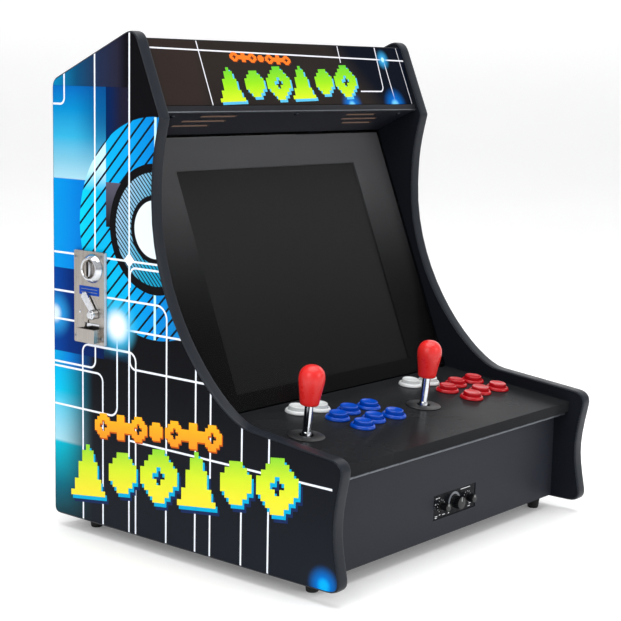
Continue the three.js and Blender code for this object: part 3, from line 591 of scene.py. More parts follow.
def blocks_on_side(art):
    """Blue colour fields that come in from the rear edge."""
    up, across = art.up, art.across
    crown = art.shades(
        across, (104, srgb(18, 17, 26)), (125, srgb(35, 35, 53)), (160, srgb(31, 43, 72)),
        (200, srgb(9, 72, 112)), (245, srgb(3, 126, 175)),
    )
    art.lay(crown, art.ramp(up, 574.5, 575.5) * art.ramp(across, 100, 126))
    sky = art.shades(
        up, (455, srgb(161, 208, 224)), (480, srgb(119, 187, 213)), (510, srgb(50, 169, 211)),
        (545, srgb(2, 135, 196)), (575, srgb(3, 100, 179)),
    )
    sky = art.mix(sky, srgb(2, 62, 122), art.ramp(across, 150, 215, 0.75, 0) * art.ramp(up, 455, 540, 0.1, 1))
    dusk = art.mix(srgb(28, 26, 44), srgb(0, 33, 83), art.ramp(across, 112, 145))
    art.lay(dusk, art.band(up, 455, 575) * (across > 103))
    art.lay(sky, art.band(up, 455, 575) * (across > 145.6))
    water = art.shades(across, (196, srgb(0, 118, 205)), (213, srgb(1, 129, 213)), (249, srgb(0, 146, 218)))
    art.lay(water, art.band(up, 337, 455) * (across > 145.6))
    deep = art.shades(across, (150, srgb(3, 26, 74)), (217, srgb(1, 41, 113)), (249, srgb(2, 65, 150)))
    art.lay(deep, art.band(up, 225, 337) * art.ramp(across, 144, 152))
    teal = art.shades(up, (225, srgb(18, 17, 24)), (268, srgb(20, 120, 170)), (300, srgb(3, 150, 205)))
    art.lay(teal, art.between(across, 103, 150) * art.between(up, 225, 337) * 0.8)
    art.glow(246, 275, 16, 38, srgb(40, 150, 215), srgb(210, 228, 242))
    strip = art.shades(
        across,
        (170, srgb(20, 20, 28)), (196, srgb(4, 72, 137)), (217, srgb(3, 117, 197)), (249, srgb(8, 161, 215)),
    )
    art.lay(strip, art.band(up, 206, 225) * (across > 170))
    foot = art.shades(
        up, (0, srgb(27, 64, 73)), (42, srgb(3, 112, 134)), (68, srgb(4, 149, 170)), (100, srgb(2, 178, 202)),
        (104, srgb(160, 211, 226)), (140, srgb(114, 202, 228)), (172, srgb(1, 187, 225)),
        (205, srgb(4, 173, 224)),
    )
    art.lay(foot, (up < 206) * art.ramp(across, 168, 247) * art.ramp(up, 0, 110, 0.75, 1))


def lettering_zone(art, across, up, order, cells, face, shadows):
    """A row of ornaments with drop shadows; across and up already count in ornaments."""
    count = len(order)
    for colour, shift_across, shift_up in shadows:
        art.lay(colour, art.glyph_row(across - shift_across, up - shift_up, count, cells, order))
    art.lay(face, art.glyph_row(across, up, count, cells, order))


SMALL_ROW = ["diamond", "cross", "diamond", "star", "diamond", "cross", "diamond"]
BIG_ROW = ["pyramid", "star", "diamond", "pyramid", "star", "diamond"]


def side_artwork():
    art = Artwork("side_artwork", Specular_IOR_Level=0.03)
    x, y, z = art.parts()
    up = z - BASE_Z / MM
    ground = art.shades(
        up, (0, srgb(29, 33, 40)), (200, srgb(15, 16, 20)), (420, srgb(11, 10, 14)), (650, srgb(11, 10, 14))
    )
    art.begin(y, up, ground)
    blocks_on_side(art)
    rings_on_side(art)
    lines_on_side(art)
    art.lay(srgb(235, 240, 250), art.strokes)
    art.lay(srgb(240, 246, 252), art.ramp(abs(y - 102.6) + abs(up - 358.8), 9, 10, 1, 0))
    art.glow(125, 271.4, 27, 42, srgb(70, 185, 225), srgb(240, 246, 250))
    art.glow(-226, 8, 12, 27, srgb(0, 112, 205), srgb(4, 170, 240))
    art.lay(srgb(150, 215, 245), art.ramp(art.from_point(-142, 124.7), 2, 9, 0.9, 0))

    small_across = (167.6 - y) / 32.7
    small_up = (151.7 + (167.6 - y) * 0.084 - up) / 33
    lettering_zone(
        art, small_across, small_up, SMALL_ROW, 7,
        art.shades(small_up, (0, srgb(251, 178, 34)), (1, srgb(238, 146, 40))),
        [(srgb(190, 84, 24), 0.05, 0.06)],
    )
    big_across = (215 - y) / 66.7
    big_up = (101.6 + (215 - y) * 0.1258 - up) / 70
    lettering_zone(
        art, big_across, big_up, BIG_ROW, 9,
        art.shades(big_up, (0, srgb(132, 206, 54)), (0.45, srgb(205, 226, 48)), (1, srgb(244, 222, 60))),
        [(srgb(26, 42, 84), 0.1, 0.13), (srgb(9, 166, 212), 0.05, 0.07)],
    )
    printed = abs(x - CENTRE_X / MM) > OUTER_X / MM - 0.5
    grain = art.noise(700, 2)
    board = art.mix(srgb(20, 22, 27), srgb(27, 30, 36), grain)
    art.set("Base Color", art.mix(board, art.print, printed))
    art.set("Roughness", art.ramp(art.noise(14, 3), 0.3, 0.7, 0.3, 0.4))
    art.bump(art.noise(420, 2), 0.07, 0.04)
    return art.material


def marquee_artwork():
    art = Artwork("marquee_artwork", Specular_IOR_Level=0.03)
    x, _, z = art.parts()
    low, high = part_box("marquee_panel")
    across = x - CENTRE_X / MM
    up = (z - low.z / MM) * (85.8 / ((high.z - low.z) / MM))
    ground = art.mix(srgb(44, 38, 34), srgb(32, 29, 29), art.noise(12, 3))
    art.begin(across, up, ground)
    art.lay(srgb(6, 12, 24), art.ramp(across + up * 0.9, 150, 215))
    art.lay(srgb(60, 45, 42), art.band(across, -262, -180, 14) * 0.25)
    art.stroke(up - (70.7 - across * 0.0155), 0.95)
    art.stroke(across - (-170.4 - up * 0.07), 0.85)
    art.stroke(across - 110.5, 0.8, within=up > 61.5)
    art.elbow((189, 28), 8, 1, -1, low=(142.5, -999), half=0.9)
    art.stroke(across - (219.8 - up * 0.105), 0.8, within=up < 66)
    art.stroke(across - (259.1 - up * 0.116), 0.5)
    art.lay(srgb(222, 222, 230), art.strokes)
    art.glow(211, 67.7, 5, 17, srgb(50, 150, 205), srgb(180, 235, 250))
    art.glow(218, -1.4, 12, 30, srgb(0, 100, 190), srgb(110, 195, 240))
    art.glow(116, -1.4, 10, 26, srgb(0, 105, 195), srgb(110, 195, 240))
    small_up = (72.4 - (across + 118) * 0.03 - up) / 12.5
    lettering_zone(
        art, (across + 119) / 17.2, small_up, SMALL_ROW, 7, srgb(243, 116, 38),
        [(srgb(140, 60, 24), 0.05, 0.07)],
    )
    big_up = (50.7 + (across + 154) * 0.027 - up) / 46
    lettering_zone(
        art, (across + 154) / 48.4, big_up, BIG_ROW, 9,
        art.shades(big_up, (0, srgb(92, 188, 48)), (0.5, srgb(140, 206, 30)), (1, srgb(196, 216, 40))),
        [(srgb(84, 176, 214), 0.06, 0.08)],
    )
    art.set("Base Color", art.print)
    art.set("Roughness", art.ramp(art.noise(60, 3), 0.3, 0.7, 0.16, 0.24))
    return art.material


def speaker_board():
    """Dark vinyl on the faces, bare fibreboard inside the slots."""
    paint = Paint("speaker_board")
    _, facing_y, facing_z = paint.parts(paint.facing)
    across_face = abs(facing_y * SPEAKER_UP.y + facing_z * SPEAKER_UP.z)
    raw = paint.mix(srgb(150, 122, 104), srgb(112, 88, 76), paint.noise(1600, 3))
    vinyl = paint.mix(srgb(17, 19, 27), srgb(24, 27, 37), paint.noise(500, 3))
    paint.set("Base Color", paint.mix(raw, vinyl, across_face > 0.6))
    paint.set("Roughness", paint.ramp(across_face, 0.3, 0.7, 0.9, 0.42))
    paint.bump(paint.noise(420, 2), 0.12, 0.05)
    return paint.material


def dark_glass():
    paint = Paint("tinted_glass", Specular_IOR_Level=0.06)
    smear = paint.noise(30, 4, 0.6)
    paint.set("Base Color", paint.mix(srgb(8, 8, 9), srgb(13, 13, 14), smear))
    paint.set("Roughness", paint.ramp(smear, 0.3, 0.7, 0.07, 0.12))
    paint.set("Alpha", 0.35)
    return paint.material


def screen_surround():
    """The painted border behind the glass, much paler towards the top: that paleness is a painted reflection
    of the light above.
    """
    paint = Paint("screen_surround", Specular_IOR_Level=0.1)
    _, _, z = paint.parts()
    # Painted reflection: the colour goes from dark to pale towards the top, as if the light above were
    # mirrored in it.
    height = paint.math("POWER", paint.ramp(z, 190, 560), 2.6)
    mottle = paint.noise(60, 4)
    paint.set("Base Color", paint.mix(srgb(27, 27, 28), srgb(196, 196, 200), height))
    paint.set("Roughness", paint.ramp(mottle, 0.3, 0.7, 0.62, 0.74))
    return paint.material


def display_face():
    """A switched-off liquid-crystal display with its fine pixel grid, and a painted reflection that makes it
    paler towards the top.
    """
    paint = Paint("display_face", Specular_IOR_Level=0.1)
    x, _, z = paint.parts()
    dots = (paint.math("PINGPONG", x / 1.2, 0.5) < 0.1) + (paint.math("PINGPONG", z / 1.2, 0.5) < 0.1)
    # Painted reflection, not light from the display: the colour is paler towards the top, where the light
    # above is mirrored.
    glow = paint.mix(srgb(60, 60, 61), srgb(98, 98, 99), paint.ramp(z, 190, 520))
    paint.set("Base Color", paint.mix(glow, srgb(52, 52, 53), paint.least(dots, 1) * 0.4))
    paint.set("Roughness", paint.ramp(paint.noise(50, 3), 0.3, 0.7, 0.4, 0.5))
    return paint.material


def green_board():
    paint = Paint("solder_mask")
    tracks = paint.cells(240, (1, 2, 1))
    paint.set("Base Color", paint.mix(srgb(10, 74, 40), srgb(26, 112, 62), paint.ramp(tracks, 0.2, 0.5)))
    paint.set("Roughness", paint.ramp(paint.noise(90, 3), 0.3, 0.7, 0.25, 0.4))
    paint.bump(tracks, 0.2, 0.05)
    return paint.material


SIDE_ART = side_artwork()
MARQUEE_ART = marquee_artwork()
SPEAKER_BOARD = speaker_board()
DARK_GLASS = dark_glass()
SCREEN_SURROUND = screen_surround()
DISPLAY_FACE = display_face()
GREEN_BOARD = green_board()
CONE_PAPER = moulded("cone_paper", srgb(22, 22, 23), 0.85, grain=0.6, variation=0.15)
AMP_FACE = moulded("amp_face", srgb(18, 19, 23), 0.25, variation=0.1, Specular_IOR_Level=0.05)
PALE_ZINC = metal("pale_zinc", srgb(112, 116, 122), 0.36)

# ---------------------------------------------------------------- CAD nodes


def dress(name, material, bevel=0.0):
    """Gives a CAD node its finish; a bevel in millimetres softens its edges.

    The control panel has none, because a bevel round its many holes tilts the long faces between them.
    """
    node = NODES[name]
    data = node.data
    data.materials.clear()
    data.materials.append(material)
    if "custom_normal" in data.attributes:
        data.attributes.remove(data.attributes["custom_normal"])
    if not bevel:
        data.shade_flat()
        return
    data.shade_smooth()
    weld = node.modifiers.new("weld", "WELD")
    weld.merge_threshold = 1e-6
    soften = node.modifiers.new("soften", "BEVEL")
    soften.width = bevel * MM
    soften.segments = 2
    soften.limit_method = "ANGLE"
    soften.angle_limit = math.radians(38)
    soften.use_clamp_overlap = True
    even = node.modifiers.new("normals", "WEIGHTED_NORMAL")
    even.keep_sharp = True
    even.weight = 100


FINISHES = [
    (("side_panel_left", "side_panel_right"), SIDE_ART, 0.3),
    (("t_moulding_left", "t_moulding_right"), EDGE_TRIM, 0.6),
    # The base panel gets the darker board: painted shade inside the cabinet.
    (("base_panel",), SHADED_INSIDE_BOARD, 0.4),
    (("top_panel",), LID_BOARD, 0.5),
    (("marquee_panel",), MARQUEE_ART, 0.2),
    (("speaker_panel",), SPEAKER_BOARD, 0.3),
    (("speaker_left", "speaker_right"), CONE_PAPER, 0.3),
    (("monitor_glass",), DARK_GLASS, 0.3),
    (("screen_bezel",), SCREEN_SURROUND, 0.2),
    (("lcd_monitor",), DISPLAY_FACE, 0.4),
    (("front_panel",), FRONT_BOARD, 0.5),
    (("amplifier_panel",), AMP_FACE, 0.3),
    (("control_panel",), PANEL_TOP, 0.0),
    (("panel_hinge_moving_leaf", "panel_hinge_fixed_leaf"), PALE_ZINC, 0.2),
    (("panel_hinge_pin",), ZINC, 0.2),
    (("joystick_housing_left", "joystick_housing_right"), SATIN_BLACK, 0.6),
    (("joystick_ring_left", "joystick_ring_right"), WHITE_PLASTIC, 0.3),
    (("rear_panel",), BLACK_BOARD, 0.5),
    (("rear_door",), BLACK_BOARD, 0.5),
    (("door_lock",), CHROME, 0.3),
    (("power_inlet",), BLACK_PLASTIC, 0.4),
    (("game_board",), GREEN_BOARD, 0.2),
    (("power_supply",), ALUMINIUM, 0.4),
    (("coin_plate",), COIN_STEEL, 0.5),
    (("coin_return_lever",), CHROME, 0.4),
    (("coin_return_flap",), CHROME, 0.3),
    (("coin_selector",), BLACK_ZINC, 0.4),
    (tuple(name for name in NODES if name.startswith("foot_")), RUBBER, 0.5),
]
for names, finish_material, softness in FINISHES:
    for name in names:
        dress(name, finish_material, softness)

# ---------------------------------------------------------------- screws


def cross_head(radius, height, drive=0.55):
    """A domed screw head with a crossed recess, its flat side at z = 0."""
    head = bmesh.new()
    add_turned(
        head,
        [(0, 0), (radius, 0), (radius, height * 0.3), (radius * 0.9, height * 0.68),
         (radius * 0.6, height * 0.93), (0, height)],
        Matrix.Identity(4), 32,
    )
    slot = bmesh.new()
    arm, thin = radius * drive, radius * 0.13
    add_box(slot, (-arm, -thin, height * 0.35), (arm, thin, height * 2), Matrix.Identity(4), 0)
    cross = bmesh.new()
    add_box(cross, (-thin, -arm, height * 0.35), (thin, arm, height * 2), Matrix.Identity(4), 0)
    return cut_mesh(cut_mesh(head, slot), cross)


def mesh_data(mesh):
    data = bpy.data.meshes.new("screw")
    mesh.to_mesh(data)
    mesh.free()
    return data


SCREW_SIZES = ((3.4, 1.8), (2.2, 1.2), (4.2, 2.0))  # head radius and height
SCREW_SHAPES = {radius: mesh_data(cross_head(radius, height)) for radius, height in SCREW_SIZES}


def add_screw(name, body, radius, matrix, material):
    screw = bmesh.new()
    screw.from_mesh(SCREW_SHAPES[radius])
    bmesh.ops.transform(screw, matrix=matrix, verts=screw.verts)
    return finish_mesh(screw, name, body, [material], 40)


def at(local, x, y, z, turn=0.0):
    """A place in a local frame, in millimetres, turned about that frame's z."""
    return local @ Matrix.Translation(Vector((x, y, z)) * MM) @ Matrix.Rotation(math.radians(turn), 4, "Z")


# ---------------------------------------------------------------- push buttons

BUTTON_NODES = sorted(name for name in NODES if name.startswith("button_"))
BUTTON_COLOURS = {"left": BLUE_PLASTIC, "right": RED_PLASTIC}
PLUNGER_TOP = 9.5

HOUSING_PROFILE = [
    (12.5, 2.6), (12.7, 3.7), (13.4, 4.4), (14.4, 4.5), (15.3, 3.9), (16.2, 2.4), (16.6, 1.3), (16.6, 0.4),
    (16.3, 0.1), (14.1, 0.1), (14.1, -23), (12.5, -23),
]
PLUNGER_PROFILE = [
    (0, PLUNGER_TOP - 1.6), (5, PLUNGER_TOP - 1.4), (8.6, PLUNGER_TOP - 0.8), (10.2, PLUNGER_TOP - 0.1),
    (10.9, PLUNGER_TOP), (11.6, PLUNGER_TOP - 0.3), (12.0, PLUNGER_TOP - 1.0), (12.1, PLUNGER_TOP - 2),
    (12.1, -9), (11, -10), (4, -10), (4, -26), (0, -26),
]
NUT_PROFILE = [
    (14.4, -15.4), (17.6, -15.4), (18.2, -16), (18.2, -20.4), (17.6, -21), (14.4, -21),
]


def build_button(node):
    """The housing, nut and microswitch ride on the control panel, and the plunger on its own body."""
    side = node.split("_")[1]
    white = node.endswith(("start", "select"))
    plastic = WHITE_PLASTIC if white else BUTTON_COLOURS[side]
    middle = axis_point(node, PANEL)
    place = at(PANEL, middle.x / MM, middle.y / MM, 0)
    label = node.removeprefix("button_")

    plunger = bmesh.new()
    add_turned(plunger, PLUNGER_PROFILE, place, 48)
    piece = finish_mesh(plunger, "plunger_" + label, node, [plastic], 50)
    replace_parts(piece, node)

    housing = bmesh.new()
    add_turned(housing, HOUSING_PROFILE, place, 56)
    finish_mesh(housing, "button_housing_" + label, "control_panel", [plastic], 50)

    nut = bmesh.new()
    add_turned(nut, NUT_PROFILE, place, 12)
    finish_mesh(nut, "button_nut_" + label, "control_panel", [plastic], 30)

    switch = bmesh.new()
    add_box(switch, (-13.9, -5.5, -40), (13.9, 5.5, -30), place, 0.5)
    for x in (-10, 0, 10):
        add_box(switch, (x - 2.2, -0.4, -47), (x + 2.2, 0.4, -40.2), place, 0.1, 1)
    finish_mesh(switch, "microswitch_" + label, "control_panel", [SATIN_BLACK, COPPER], 40)

    cage = bmesh.new()
    for x in (-1, 1):
        add_box(cage, (x * 12.2 - 1.2, -4, -31), (x * 12.2 + 1.2, 4, -23.2), place, 0.3)
    finish_mesh(cage, "switch_holder_" + label, "control_panel", [plastic], 40)


for node_name in BUTTON_NODES:
    build_button(node_name)


# ---------------------------------------------------------------- joysticks

BAT_PROFILE = [
    (0, 40.2), (9.2, 40.2), (10.6, 40.6), (11.6, 41.5), (12.1, 43), (12.6, 46.5), (13.3, 51.5), (14.2, 57),
    (15.1, 62.5), (15.9, 67.5), (16.4, 71.5), (16.5, 74.5), (16.3, 77.5), (15.6, 80.9), (14.3, 84),
    (12.3, 86.7), (9.6, 89), (6.4, 90.5), (3.2, 91.2), (0, 91.3),
]
SHAFT_PROFILE = [
    (0, -38), (4.2, -38), (4.5, -37.5), (4.5, -14), (7.6, -9.5), (7.6, -6.5), (6.5, -3), (6.4, 4), (5.6, 6.2),
    (5.4, 7), (5.4, 39.6), (0, 39.6),
]
WASHER_PROFILE = [
    (9.2, 0.3), (22.5, 0.3), (23.6, 0.5), (23.8, 0.9), (23.3, 1.3), (10, 1.9), (9.2, 1.9),
]


def build_joystick(side):
    middle = axis_point("joystick_shaft_" + side, PANEL)
    place = at(PANEL, middle.x / MM, middle.y / MM, 0)
    bat = bmesh.new()
    add_turned(bat, BAT_PROFILE, place, 64)
    bat_top = finish_mesh(bat, "bat_top_" + side, "stick_" + side, [BAT_RED], 60)
    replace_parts(bat_top, "joystick_bat_" + side)
    shaft = bmesh.new()
    add_turned(shaft, SHAFT_PROFILE, place, 48)
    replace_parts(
        finish_mesh(shaft, "shaft_" + side, "stick_" + side, [CHROME], 40), "joystick_shaft_" + side
    )
    washer = bmesh.new()
    add_turned(washer, WASHER_PROFILE, place, 64)
    finish_mesh(washer, "dust_washer_" + side, "control_panel", [SATIN_BLACK], 40)
    for i, (x, y) in enumerate(((-25, -38), (25, -38), (25, 38), (-25, 38))):
        flipped = at(PANEL, middle.x / MM + x, middle.y / MM + y, -37.4) @ Matrix.Rotation(math.pi, 4, "X")
        add_screw(f"housing_screw_{side}_{i + 1}", "control_panel", 3.4, flipped, ZINC)
    for i, (x, y) in enumerate(((0, -36), (0, 36), (-24.5, 0), (24.5, 0))):
        switch = bmesh.new()
        wide, deep = (10, 3.2) if x == 0 else (3.2, 10)
        add_box(switch, (x - wide, y - deep, -48), (x + wide, y + deep, -37.6), place, 0.4)
        for step in (-7, 0, 7):
            ax, ay = (step, 0) if x == 0 else (0, step)
            low, high = (x + ax - 1.2, y + ay - 1.2, -53), (x + ax + 1.2, y + ay + 1.2, -48.2)
            add_box(switch, low, high, place, 0.1, 1)
        finish_mesh(switch, f"stick_switch_{side}_{i + 1}", "control_panel", [SATIN_BLACK, COPPER], 40)


for side_name in ("left", "right"):
    build_joystick(side_name)

# ---------------------------------------------------------------- amplifier

VOLUME_SWEEP = 150


def build_knob(name, radius):
    """A fluted knob with a pointer line, in place of the plain CAD cylinder."""
    middle = axis_point(name, AMP)
    place = at(AMP, middle.x / MM, middle.y / MM, 0)
    knob = bmesh.new()
    outline = []
    flutes = 18 if radius > 7 else 12
    for i in range(flutes * 6):
        angle = math.tau * i / (flutes * 6)
        reach = radius - 0.45 * (0.5 - 0.5 * math.cos(flutes * angle)) ** 2
        outline.append((reach * math.cos(angle), reach * math.sin(angle)))
    add_prism(knob, outline, 1.8, 12.4, place, 0.45)
    add_turned(knob, [(0, 0.6), (radius + 0.6, 0.6), (radius + 0.6, 1.3), (radius, 1.7), (0, 1.7)], place, 40)
    add_turned(knob, [(0, -2.4), (3, -2.4), (3, 0.5), (0, 0.5)], place, 24)
    add_box(knob, (-0.4, radius * 0.25, 12.5), (0.4, radius - 0.9, 12.6), place, 0, 1)
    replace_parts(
        finish_mesh(knob, name + "_fluted", name, [BLACK_PLASTIC, WHITE_INK], 40), name
    )


def arc_band(mesh, inner, outer, start, end, z0, z1, matrix, steps=30):
    """Adds a flat band round an arc, in degrees measured from straight up, clockwise."""
    angles = [math.radians(90 - start - (end - start) * i / steps) for i in range(steps + 1)]
    outline = [(outer * math.cos(a), outer * math.sin(a)) for a in angles]
    outline += [(inner * math.cos(a), inner * math.sin(a)) for a in reversed(angles)]
    add_prism(mesh, outline, z0, z1, matrix)


def build_scale(name, radius):
    middle = axis_point(name, AMP)
    place = at(AMP, middle.x / MM, middle.y / MM, 0)
    marks = bmesh.new()
    for i in range(11):
        tick = place @ Matrix.Rotation(math.radians(-VOLUME_SWEEP + 30 * i), 4, "Z")
        add_box(marks, (-0.3, radius + 1.6, 0.02), (0.3, radius + 3.2, 0.12), tick, 0)
    finish_mesh(marks, name + "_ticks", "cabinet", [WHITE_INK])


build_knob("volume_knob", 8.5)
for knob_name in ("bass_knob", "treble_knob"):
    build_knob(knob_name, 5.5)
    build_scale(knob_name, 5.5)

volume_scale = bmesh.new()
volume_place = at(AMP, 0, axis_point("volume_knob", AMP).y / MM, 0)
arc_band(volume_scale, 10.2, 13.4, -125, 95, 0.02, 0.2, volume_place)
finish_mesh(volume_scale, "volume_scale_ring", "cabinet", [GREY_INK])

amp_marks = bmesh.new()
AMP_DASHES = (  # left end, middle height and length
    (-42, 11.5, 5), (-36, 11.5, 3), (14, 13.6, 22), (-44, 4, 3), (-43, -12.4, 5), (-34, -11.6, 3),
    (-27, -12.4, 6), (-14, -13, 3), (34, -9.5, 4), (32, -13, 5), (-43, -14.4, 4), (18, -13, 3),
)
for x, y, wide in AMP_DASHES:
    add_box(amp_marks, (x, y - 0.5, 0.02), (x + wide, y + 0.5, 0.12), AMP, 0)
finish_mesh(amp_marks, "amplifier_markings", "cabinet", [WHITE_INK])
for i, x in enumerate((-45, 45)):
    add_screw(f"amplifier_screw_{i + 1}", "cabinet", 2.2, at(AMP, x, 0, 0.05, 20), BLACK_ZINC)

# ---------------------------------------------------------------- coin mechanism

COIN_PLATE_TOP = 5.0
ENTRY = (7.5, 38.5)
ENTRY_TOP = 12.0

ring = bmesh.new()
add_turned(
    ring,
    [(12.2, ENTRY_TOP - 4.6), (12.2, ENTRY_TOP + 0.3), (13, ENTRY_TOP + 1), (14.6, ENTRY_TOP + 0.9),
     (16.6, ENTRY_TOP - 1.5), (18.9, 7.2), (19.2, 6), (19.2, 5.05), (18.6, 5.05), (18.4, 7),
     (15.4, ENTRY_TOP - 0.05), (12.6, ENTRY_TOP + 0.05)],
    at(COIN, *ENTRY, 0), 64,
)
finish_mesh(ring, "coin_entry_ring", "cabinet", [CHROME], 40)

for which, side in (("front", 1), ("rear", -1)):
    guide = bmesh.new()
    outline = []
    for i in range(13):
        angle = math.radians(-62 + 124 * i / 12)
        outline.append((side * (2.1 + 7.4 * math.cos(angle) - 3.4), 11.2 * math.sin(angle)))
    outline += [(side * 1.9, 9.6), (side * 1.9, -9.6)]
    add_prism(guide, outline, ENTRY_TOP - 2.95, ENTRY_TOP + 2.4, at(COIN, *ENTRY, 0), 0.5)
    finish_mesh(guide, "coin_guide_" + which, "cabinet", [CHROME if side > 0 else COIN_STEEL], 40)

label = bmesh.new()
label_place = at(COIN, 0.8, 9, 0)
add_prism(label, rounded(38, 11.5, 0.8), COIN_PLATE_TOP + 0.05, COIN_PLATE_TOP + 0.25, label_place, 0.05)
finish_mesh(label, "coin_label_band", "cabinet", [LABEL_BLUE], 30)
lines = bmesh.new()
for y in (-2.4, 1.6):
    add_box(lines, (-15, 9 + y, 5.27), (16.5, 9.7 + y, 5.33), COIN, 0)
finish_mesh(lines, "coin_label_lines", "cabinet", [GREY_INK])

for i, (x, y) in enumerate(((-24.8, 51.5), (24.8, 55.5), (24.8, -52), (-24.8, -52))):
    place = at(COIN, x, y, COIN_PLATE_TOP + 0.05, 15 + 40 * i)
    add_screw(f"coin_plate_screw_{i + 1}", "cabinet", 2.2, place, ZINC)

boss = bmesh.new()
add_turned(boss, [(0, 15.6), (4.4, 15.6), (4.8, 16), (4.2, 16.6), (0, 16.7)], at(COIN, 13, -20.5, 0), 40)
finish_mesh(boss, "lever_boss_cap", "coin_return_lever", [CHROME], 40)
# A pale strip over the coin plate's front edge: a painted highlight where the edge catches the light.
edge_highlight_strip = bmesh.new()
add_box(edge_highlight_strip, (28.55, -60, 0.6), (28.95, 60, 4.8), COIN, 0.1)
finish_mesh(edge_highlight_strip, "coin_plate_edge_highlight", "cabinet", [EDGE_HIGHLIGHT_PAINT], 40)
rivet = bmesh.new()
add_turned(rivet, [(0, 5.05), (2, 5.05), (1.8, 5.9), (1, 6.4), (0, 6.5)], at(COIN, -16.4, -19.6, 0), 24)
finish_mesh(rivet, "coin_plate_rivet", "cabinet", [CHROME], 40)

# ---------------------------------------------------------------- panel screws and trims

for i, x in enumerate((-236, 0, 236)):
    under = at(SPEAKER, x, 12 if x else 9, -0.05, 25 * i) @ Matrix.Rotation(math.pi, 4, "X")
    add_screw(f"speaker_panel_screw_{i + 1}", "cabinet", 3.4, under, BLACK_ZINC)

marquee_low, marquee_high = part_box("marquee_panel")
MARQUEE_UP = Vector((0, marquee_high.y - marquee_low.y, marquee_high.z - marquee_low.z)).normalized()
MARQUEE_OUT = Vector((0, -MARQUEE_UP.z, MARQUEE_UP.y))
MARQUEE = axes(Vector((CENTRE_X, marquee_low.y, marquee_low.z)), X, MARQUEE_UP, MARQUEE_OUT)
marquee_height = 85.8
half_print = 261.7
retainer = bmesh.new()
retainer_low = (-half_print, marquee_height - 7.5, 0.05)
retainer_high = (half_print, marquee_height + 0.6, 2.2)
add_box(retainer, retainer_low, retainer_high, MARQUEE, 0.4)
finish_mesh(retainer, "marquee_top_retainer", "cabinet", [LID_BOARD], 40)
sill = bmesh.new()
add_box(sill, (-half_print, -7.6, -1.5), (half_print, -0.4, 2.6), MARQUEE, 0.5)
finish_mesh(sill, "marquee_sill", "cabinet", [LID_BOARD], 40)
# A pale zinc strip along the sill's lower edge: a painted highlight for the light line on that edge.
sill_highlight_strip = bmesh.new()
add_box(sill_highlight_strip, (-half_print, -9.4, -1.0), (half_print, -7.7, 3.2), MARQUEE, 0.5)
finish_mesh(sill_highlight_strip, "marquee_sill_highlight_strip", "cabinet", [PALE_ZINC], 40)

for side in ("left", "right"):
    for which in ("front", "rear"):
        low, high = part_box(f"foot_{which}_{side}")
        middle = (low + high) / 2
        under = axes(Vector((middle.x, middle.y, low.z)), X, Y, Z)
        washer = bmesh.new()
        add_turned(washer, [(3.4, 0.9), (5.2, 0.9), (5.2, 0.35), (3.4, 0.35)], under, 32)
        finish_mesh(washer, f"foot_washer_{which}_{side}", "cabinet", [ZINC], 40)

# ---------------------------------------------------------------- rear door and mains inlet

door_low, door_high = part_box("rear_door")
DOOR_MIDDLE = (door_low.z + door_high.z) / 2
hinge_x = -(JOINTS["rear_door_hinge"]["pos_m"][0] - CENTRE_X) / MM
for i, height in enumerate((205, 455)):
    fixed, moving = bmesh.new(), bmesh.new()
    place = at(REAR, hinge_x, height, 0)
    upright = place @ Matrix.Rotation(-math.pi / 2, 4, "X")
    for k in range(5):
        low, high = -30 + 12 * k + 0.3, -18 + 12 * k - 0.3
        target = fixed if k % 2 == 0 else moving
        add_turned(target, [(0.55, low), (1.3, low), (1.3, high), (0.55, high)], upright, 20)
    add_box(fixed, (-16, -30, 0.3), (-1.6, 30, 0.8), place, 0.1)
    add_box(moving, (1.6, -30, 0.3), (16, 30, 0.8), place, 0.1)
    finish_mesh(fixed, f"door_hinge_fixed_{i + 1}", "cabinet", [BLACK_ZINC], 40)
    finish_mesh(moving, f"door_hinge_moving_{i + 1}", "rear_door", [BLACK_ZINC], 40)
    pin = bmesh.new()
    add_turned(pin, [(0, -30.4), (0.45, -30.4), (0.45, 30.4), (0, 30.4)], upright, 16)
    finish_mesh(pin, f"door_hinge_pin_{i + 1}", "cabinet", [ZINC], 40)
    for k, y in enumerate((-20, 20)):
        number = f"{i + 1}_{k + 1}"
        add_screw("hinge_screw_fixed_" + number, "cabinet", 2.2, at(place, -9, y, 0.85, 30 * k), ZINC)
        add_screw("hinge_screw_moving_" + number, "rear_door", 2.2, at(place, 9, y, 0.85, 50 * k), ZINC)

inlet_low, inlet_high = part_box("power_inlet")
INLET = axes(
    Vector(((inlet_low.x + inlet_high.x) / 2, inlet_high.y, (inlet_low.z + inlet_high.z) / 2)), -X, Z, Y
)
for i, x in enumerate((-20, 20)):
    add_screw(f"inlet_screw_{i + 1}", "cabinet", 2.2, at(INLET, x, 0, 0.05, 35 * i), ZINC)

keyhole = bmesh.new()
lock_centre = axis_point("door_lock", REAR)
LOCK = at(REAR, 180 if lock_centre.x > 0 else -180, (DOOR_MIDDLE - BASE_Z) / MM, 0)
add_turned(keyhole, [(0, 3.55), (5.6, 3.55), (5.6, 4.3), (5.1, 4.7), (0, 4.7)], LOCK, 40)
# A thin matt black sheet on the lock face in place of a cut slot: painted shade for the dark keyway.
add_box(keyhole, (-0.6, -3.6, 4.72), (0.6, 3.6, 4.78), LOCK, 0, 1)
finish_mesh(keyhole, "lock_key_face", "door_lock", [CHROME, KEYWAY_PAINTED_SHADE], 40)

REAR_SCREWS = [(x, z) for x in (-245, 245) for z in (30, 290, 540)] + [(-90, 545), (90, 545)]
for i, (x, z) in enumerate(REAR_SCREWS):
    add_screw(f"rear_panel_screw_{i + 1}", "cabinet", 3.4, at(REAR, x, z, 0.05, 22 * i), BLACK_ZINC)

# ---------------------------------------------------------------- floor, backdrop and light


